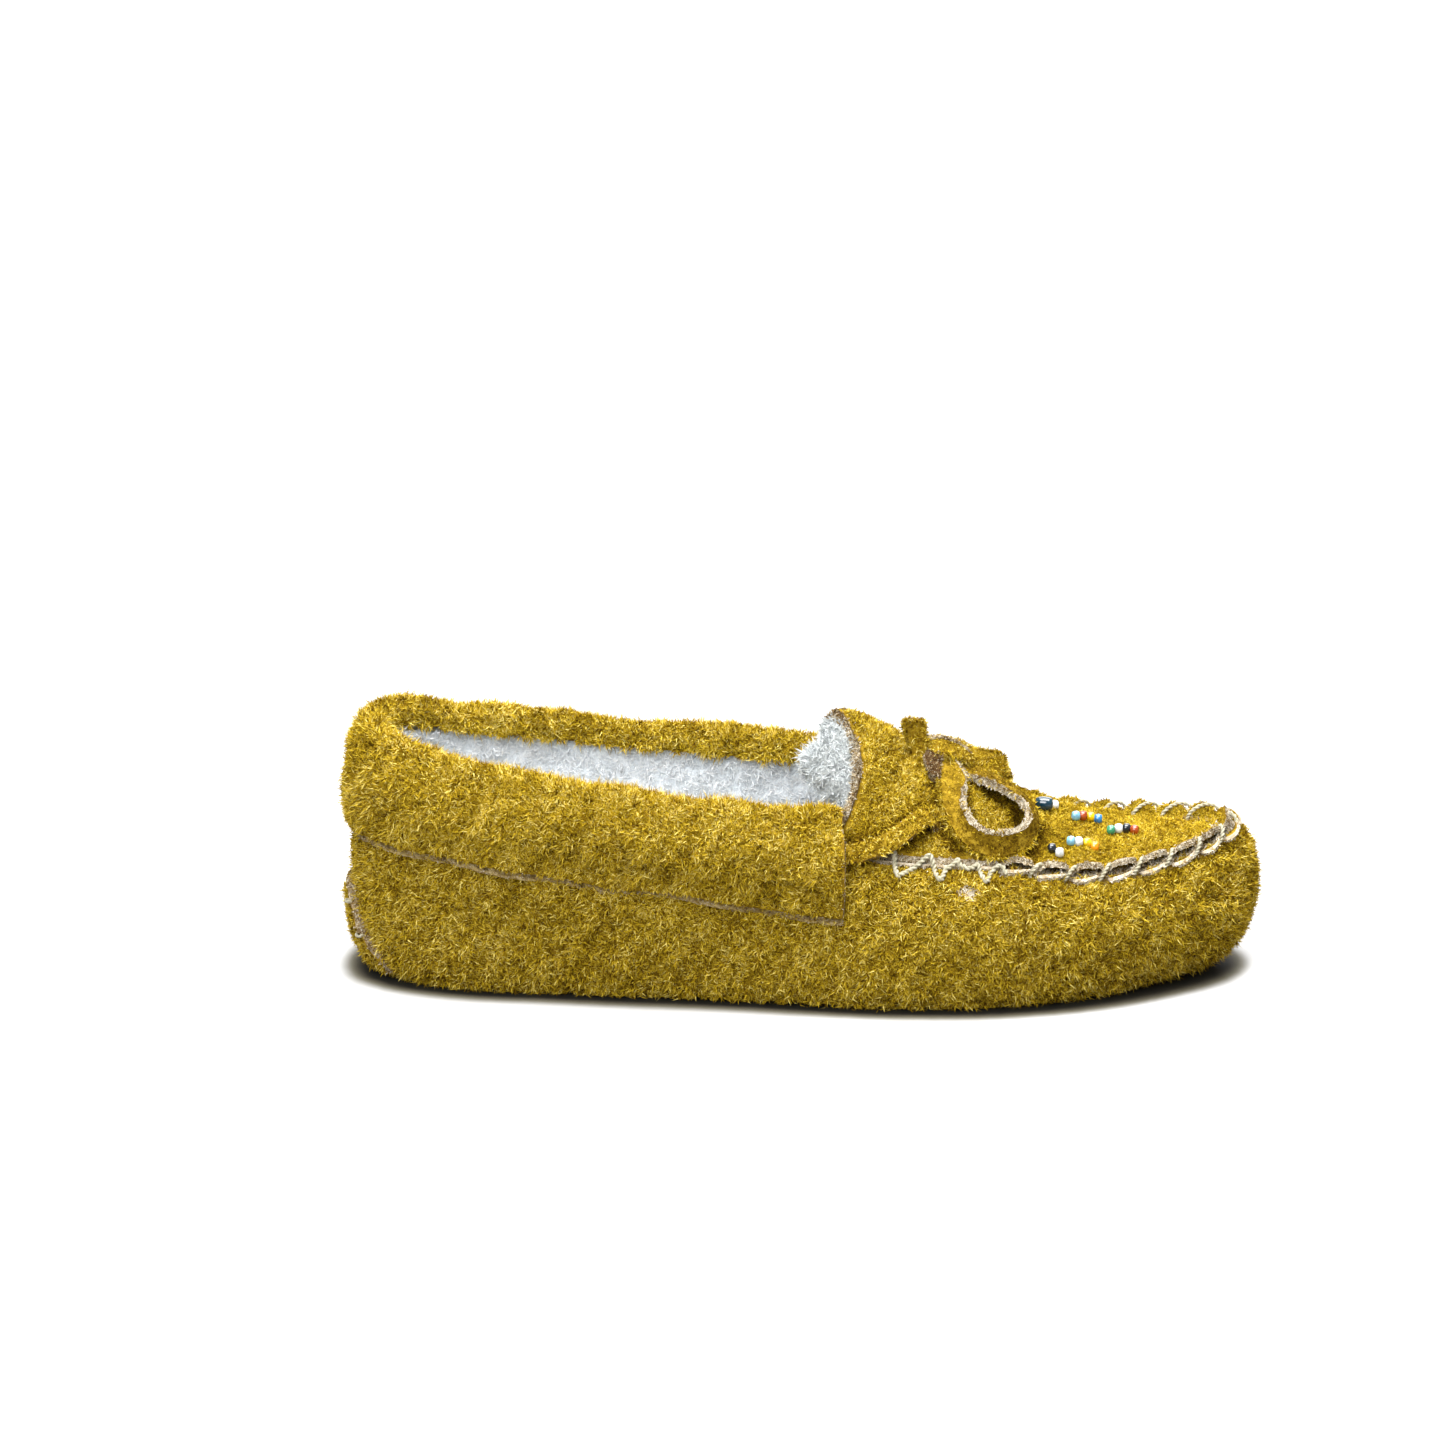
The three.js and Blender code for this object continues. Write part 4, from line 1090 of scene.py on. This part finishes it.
def build_bow():
    # the near loop's nap is painted darker inside, a painted shade
    build_strap(
        "near_loop", LOOP_OPENING, LOOP_FOOT, "loop_near", "bow_loop_near",
        steps=160, nap=22000, raw=(1,), hollow=LOOP_MIDDLE)
    # the far loop is pulled tighter
    far_free, far_resting = mirrored(LOOP_OPENING), mirrored(LOOP_FOOT)
    for edge in (far_free, far_resting):
        pulled = 0.3 * np.maximum(edge[:, 0] - 38, 0)
        edge[:, 0] -= pulled
        edge[:, 2] += 0.4 * pulled
    build_strap(
        "far_loop", far_free, far_resting, "loop_far", "bow_loop_far", steps=160, nap=14000, raw=(1,))
    # the short end stands up behind the knot
    build_strap(
        "near_tail",
        [(26.2, -5, 52.8), (25.5, -5, 55.4), (25, -5, 58), (24.6, -4.8, 60.4)],
        [(30, -4.4, 52.4), (29.4, -4.4, 55), (28.9, -4.3, 57.6), (28.4, -4.2, 59.9)],
        "tail_near", "bow_tail_near", steps=30, nap=6000, raw=())
    build_strap(
        "far_tail",
        [(36, 1.5, 53.4), (39.2, 1.4, 52.4), (43.5, 1.3, 51.3), (47.9, 1.2, 50.4)],
        [(36, -1.4, 49.8), (39.6, -1.2, 48.6), (43.5, -1.0, 47.5), (47.5, -0.8, 46.4)],
        "tail_far", "bow_tail_far", steps=40, nap=9000, raw=())
    # the knot is a strap wrapped over the roots of the loops
    angle = np.linspace(math.radians(-35), math.radians(215), 9)
    seat = vamp_at(34, 0, 2.6)

    def wrap(x, reach):
        ring = np.stack([x + 0 * angle, -reach * 4.6 * np.cos(angle), reach * 3.7 * np.sin(angle)], -1)
        ring[:, 2], ring[:, 0] = turned(ring[:, 2], ring[:, 0], math.radians(24))
        return ring + seat

    build_strap(
        "knot", wrap(-4.0, 0.5), wrap(3.6, 0.55), "shoe", "bow_knot",
        steps=60, nap=4000, thickness=1.6, raw=())
    # the strap's last turn lies over the knot on edge, with its raw edge on top
    build_strap(
        "knot_band",
        [(27.6, 0.2, 53.2), (29.6, -0.8, 55.6), (32.4, -1.4, 56.6), (36.0, -1.4, 55.8), (39.6, -0.6, 53.2)],
        [(28.2, -3.8, 50.6), (30.6, -5.4, 52.0), (33.4, -6.0, 52.4), (36.4, -5.2, 51.6), (39.6, -3.2, 49.8)],
        "shoe", None, steps=50, nap=7000, bias=0.0, thickness=2.6, edge_material=dark_edge_and_slot_shade, fuzz=-0.8,
        raw=(1,), bevel=2.4)
    # and its folded end shows raw in front of the knot
    build_strap(
        "knot_end",
        [(29.6, -4.8, 52.8), (29.2, -7.4, 51.4), (29.6, -10, 50.4), (30.6, -12.6, 49)],
        [(33.2, -6.4, 52.4), (32.8, -8.6, 51.2), (32.6, -10.6, 50), (32.4, -12.8, 48.6)],
        "shoe", None, steps=24, nap=12000, bias=-1.5, thickness=2.0, edge_material=dark_edge_and_slot_shade, fuzz=-1.1,
        raw=(0, 1, 2, 3))


def lace_front(hand, lift=0):
    """The lace's two edges from its slot in the vamp back to the cuff, moved out by `lift`."""
    # along the shoe, distance from its middle, height, and how far the strap leans out
    middle = np.array([
        (32.6, 20.8, 38.6, 45), (30.8, 22.3, 42.2, 46), (28, 24.9, 42.6, 50), (25, 27.2, 41, 54),
        (20.5, 29.8, 38.4, 58), (15, 31.4, 37, 62), (10, 32.7, 35.9, 66),
    ])
    centre = middle[:, :3] * [1, hand, 1]
    centre[:, 1] += sway(centre[:, 0])
    lean = np.radians(middle[:, 3])
    normal = np.stack([0 * lean, hand * np.sin(lean), np.cos(lean)], -1)
    centre += normal * lift
    width = unit(np.cross(np.gradient(centre, axis=0), normal)) * (LACE_WIDTH / 2)
    width *= np.sign(width[:, 2:])
    return centre + width, centre - width


def build_laces():
    """The lace that runs in the cuff, and shows from the cuff's front to the hole in the vamp."""
    off = LACE_THICKNESS / 2 + 0.55
    half = (LACE_WIDTH - 0.5) / 2
    u = np.linspace(CUFF_END * 0.96, -CUFF_END * 0.96, 24)
    edge, tall = cuff_edge_level(u)
    level = edge + (CUFF_TOP - edge) * LACE_SHARE
    upper = side(u, level + half / tall, off + 0 * u, collar_line)
    lower = side(u, level - half / tall, off + 0 * u, collar_line)
    near, far = lace_front(-1), lace_front(1)
    top = np.concatenate([near[0], upper, far[0][::-1]])
    bottom = np.concatenate([near[1], lower, far[1][::-1]])
    build_strap(
        "cuff_lace", top, bottom, "shoe", "collar_lace",
        steps=420, nap=26000, bias=-0.2, thickness=1.9, edge_material=suede_edge, fuzz=-1.2)


# ---------------------------------------------------------------- thread

def twisted(name, points, node, radius=THREAD / 2, steps=60, turn=2.6):
    """A two-ply thread along a curve."""
    line = catmull(points)(np.linspace(0, 1, steps))
    along = unit(np.gradient(line, axis=0))
    flat = unit(np.cross(along, np.array([0.3, 0.2, 0.93])))
    other = np.cross(along, flat)
    travelled = np.concatenate([[0], np.cumsum(np.linalg.norm(np.diff(line, axis=0), axis=1))])
    sides = 8
    around = np.linspace(0, TAU, sides, endpoint=False)[None, :, None]
    circle = flat[:, None, :] * np.cos(around) + other[:, None, :] * np.sin(around)
    caps = np.array([[0, 7, 6, 5], [0, 5, 4, 3], [0, 3, 2, 1]])
    ends = [caps, caps[:, ::-1] + (steps - 1) * sides]
    quads = grid_quads(steps, sides, wrap_columns=True)[:, [0, 3, 2, 1]]
    faces = np.concatenate([quads, *ends])
    all_points, all_faces = [], []
    for ply in (0, 1):
        spin = (travelled * turn + ply * math.pi)[:, None]
        centre = line + (flat * np.cos(spin) + other * np.sin(spin)) * radius * 0.42
        tube = (centre[:, None, :] + circle * radius * 0.62).reshape(-1, 3)
        all_points.append(tube)
        all_faces.append(outward(tube, faces) + ply * len(tube))
    piece = make_piece(name, np.concatenate(all_points), np.concatenate(all_faces), [cream_thread])
    ride_as(piece, "shoe", "thread", node)


def build_stitches():
    travelled, samples = seam_route()
    middle = (STITCH_COUNT - 1) / 2
    for i in range(STITCH_COUNT):
        here = (middle - i) * STITCH_PITCH

        def at(ahead, level, out):
            return side_spot(np.interp(here + ahead, travelled, samples), level, out)

        rim = at(0, 1, 0)
        outside = at(0, 0, 0) - at(0, 0, -1)
        outside[2] = 0
        outside = unit(outside)
        along = unit(at(0.5, 1, 0) - at(-0.5, 1, 0))
        if here > 2:
            # on the far side they slant over the vamp's puckers
            points = [
                at(-1.2, 0.94, -2.4),
                rim + outside * 0.1 + [0, 0, -0.6] - along * 0.9,
                rim + outside * 1.1 + [0, 0, 1.0] - along * 0.7,
                rim + outside * 0.5 + [0, 0, 3.4] - along * 0.1,
                rim - outside * 0.9 + [0, 0, 4.4] + along * 0.9,
                rim - outside * 2.7 + [0, 0, 4.2] + along * 2.2,
                rim - outside * 4.6 + [0, 0, 2.6] + along * 3.3,
                rim - outside * 5.2 + [0, 0, 0.8] + along * 3.6,
            ]
        else:
            points = [
                at(-1.5, 0.88, -3.4),
                at(-1.2, 0.94, -2.4),
                rim - outside * 0.2 + [0, 0, -0.9] - along * 1.9,
                rim + outside * 0.7 + [0, 0, 0.5] - along * 1.7,
                rim + outside * 0.7 + [0, 0, 1.9] - along * 0.8,
                rim - outside * 0.1 + [0, 0, 3.0] + along * 0.5,
                rim - outside * 1.5 + [0, 0, 2.7] + along * 1.8,
                rim - outside * 2.6 + [0, 0, 0.4] + along * 2.4,
            ]
        twisted(f"whip_stitch_{i + 1:02d}", points, f"apron_stitch_{i + 1:02d}")


def build_side_threads():
    """The zig-zag that joins the vamp's wings to the sides: along the shoe, and height over the seam."""
    route = [
        (21.6, 2), (21.8, 4.2), (21.9, 2.4), (22, 0.4), (22.2, -1.6), (22.6, -2.4), (23.6, -2),
        (26.4, 0.2), (29.2, 2.6), (29.9, 3.1), (30.4, 2.2), (31, 0.2), (31.7, -2), (32.4, -2.4),
        (33.6, -0.8), (35.4, 1.4), (36.4, 2.3), (36.9, 1.2), (37.6, -0.2), (38.6, -0.4), (39.8, 1),
        (40.8, 1.6), (41.4, 0.4), (42.1, -1.6), (42.9, -2.2), (44, 0.2), (45.4, 1.7), (46.6, 1.6),
        (47.6, -0.8),
    ]
    for hand, side_name in ((-1, "near"), (1, "far")):
        points = []
        for x, height in route:
            rim_z, low_z = seam_z(x), 13.5
            if height > 0:
                point = side_point(x, hand, 1.0, 0) + [0, hand * (1.5 - 0.5 * height), height]
            else:
                point = side_point(x, hand, (rim_z + height - low_z) / (rim_z - low_z), 1.3)
            points.append(point)
        twisted(f"side_zigzag_{side_name}", points, f"side_thread_{side_name}", radius=0.62, steps=360)


def build_heel_stitches():
    for i, share in enumerate((0.72, 0.4, -0.72, -0.4)):
        level = tab_edge(share) - 0.05
        route = [(0.84, 1.0), (0.86, 2.7), (0.92, 3.0), (0.98, 2.8), (1.0, 1.0)]
        points = [side_spot(share * reach * TAB_HALF, level, out) for reach, out in route]
        twisted(f"heel_thread_{i + 1}", points, f"heel_stitch_{i + 1}", radius=0.4, steps=30)


# ---------------------------------------------------------------- beads

GLASS = {
    "glass_teal": (0.003, 0.032, 0.055),
    "glass_white": (0.80, 0.84, 0.86),
    "glass_pale_blue": (0.22, 0.50, 0.68),
    "glass_red": (0.40, 0.062, 0.004),
    "glass_yellow": (0.88, 0.56, 0.002),
    "glass_blue": (0.03, 0.20, 0.50),
    "glass_green": (0.04, 0.28, 0.14),
    "glass_black": (0.010, 0.014, 0.018),
    "glass_orange": (0.90, 0.30, 0.003),
}


def glass(name, color):
    """Bead glass: its colour with darker and paler swirls, glossy all over."""
    deep = tuple(0.6 * c for c in color)
    pale = tuple(min(1.0, 0.9 * c + 0.015) for c in color)
    return mottled(
        name, [deep, color, pale], 700, roughness=0.08, bump=0.02, bump_scale=1500, detail=2,
        Coat_Weight=0.6, Coat_Roughness=0.03, Specular_IOR_Level=0.5,
    )


def build_bead(node, material, slot_name):
    """A rounded glass ring in its CAD bead's place, its hole along the same line."""
    low, high = (np.array(corner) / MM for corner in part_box(node))
    centre = (low + high) / 2
    size = high - low
    large = size[2] > 3
    radius = size[2] / 2 * (0.84 if large else 1.06)
    half_length = size[2] / 2 * (1.0 if large else 0.84)
    around = np.linspace(0, TAU, 40, endpoint=False)[:, None]
    ring = np.linspace(0, TAU, 28, endpoint=False)[None, :]
    hole = 0.22 * radius
    tube = (radius - hole) / 2
    reach = hole + tube + tube * np.cos(ring)
    length = half_length * np.sin(ring)
    points = np.stack(np.broadcast_arrays(length, reach * np.cos(around), reach * np.sin(around)), -1)
    # no two beads lie quite in line
    points[..., 0], points[..., 1] = turned(points[..., 0], points[..., 1], rng.uniform(-0.3, 0.3))
    quads = grid_quads(*points.shape[:2], wrap=True, wrap_columns=True)
    points = points.reshape(-1, 3) + centre
    piece = make_piece(f"glass_{node}", points, outward(points, quads), [material])
    ride_as(piece, "shoe", slot_name, node)


def build_beads():
    slots = {part["node"]: part["material_slot"] for part in frame["record"]["subparts"]}
    materials = {name: glass(name, color) for name, color in GLASS.items()}
    for node in sorted(n for n in slots if n.startswith("bead_")):
        build_bead(node, materials[slots[node]], slots[node])


# ---------------------------------------------------------------- floor and light

def add_floor():
    """A white floor. Rays from the camera see it brighter than the light that it throws on the shoe."""
    bpy.ops.mesh.primitive_plane_add(size=30, location=(0, 0, -0.0004))
    floor = bpy.context.object
    floor.name = "floor"
    material = principled("floor", (0.62, 0.62, 0.62), 0.8)
    nodes, links = material.node_tree.nodes, material.node_tree.links
    shader = nodes["Principled BSDF"]
    # painted shadow: close under the shoe, by ambient occlusion, the floor's colour and glow turn dark and
    # warm
    contact_shadow = add_node(nodes, "AmbientOcclusion", Distance=0.008)
    shade = add_ramp(nodes, [
        (0.40, (0.004, 0.003, 0.001)), (0.66, (0.16, 0.145, 0.10)), (0.90, (0.62, 0.62, 0.62)),
    ])
    links.new(contact_shadow.outputs["AO"], shade.inputs["Fac"])
    links.new(shade.outputs["Color"], shader.inputs["Base Color"])
    links.new(shade.outputs["Color"], shader.inputs["Emission Color"])
    # far from the lights the floor glows, to stay white up to the horizon
    place = add_node(nodes, "TexCoord")
    away = add_node(nodes, "VectorMath")
    away.operation = "LENGTH"
    glow = add_node(nodes, "MapRange", From_Min=0.25, From_Max=1.1, To_Min=0.13, To_Max=2.0)
    links.new(place.outputs["Object"], away.inputs[0])
    links.new(away.outputs["Value"], glow.inputs["Value"])
    links.new(glow.outputs["Result"], shader.inputs["Emission Strength"])
    dim = add_node(nodes, "BsdfDiffuse", Color=(0.30, 0.29, 0.26, 1))
    path = add_node(nodes, "LightPath")
    mix = add_node(nodes, "MixShader")
    links.new(path.outputs["Is Camera Ray"], mix.inputs["Fac"])
    links.new(dim.outputs["BSDF"], mix.inputs[1])
    links.new(shader.outputs["BSDF"], mix.inputs[2])
    links.new(mix.outputs["Shader"], nodes["Material Output"].inputs["Surface"])
    floor.data.materials.append(material)


def add_area(name, location, size, power):
    """A soft square light that faces the shoe, of this size in metres and power in watts."""
    data = bpy.data.lights.new(name, "AREA")
    data.shape = "SQUARE"
    data.size = size
    data.energy = power
    light = bpy.data.objects.new(name, data)
    light.location = location
    light.rotation_euler = (Vector((0, 0, 0.02)) - Vector(location)).to_track_quat("-Z", "Y").to_euler()
    bpy.context.scene.collection.objects.link(light)


def add_lights():
    """A white studio. The camera sees its backdrop brighter than the light that it gives."""
    world = bpy.data.worlds.new("studio")
    world.use_nodes = True
    nodes, links = world.node_tree.nodes, world.node_tree.links
    background = nodes["Background"]
    path = add_node(nodes, "LightPath")
    strength = add_node(nodes, "MapRange", To_Min=0.42, To_Max=1.6)
    links.new(path.outputs["Is Camera Ray"], strength.inputs["Value"])
    links.new(strength.outputs["Result"], background.inputs["Strength"])
    background.inputs["Color"].default_value = (1, 1, 1, 1)
    bpy.context.scene.world = world
    add_area("top", (0.05, 0.0, 1.1), size=0.8, power=28)
    add_area("front", (-0.3, -1.0, 0.9), size=0.7, power=16)
    add_area("back", (0.2, 0.9, 0.55), size=0.6, power=5)
    bpy.context.scene.view_settings.view_transform = "Standard"


for build in (
    add_camera, build_laces, build_bow, build_sides, build_seam_backing, build_cuff, build_vamp,
    build_vamp_fleece, build_lining, build_insole, build_heel_tab, build_stitches, build_side_threads,
    build_heel_stitches, build_beads, add_floor, add_lights,
):
    build()
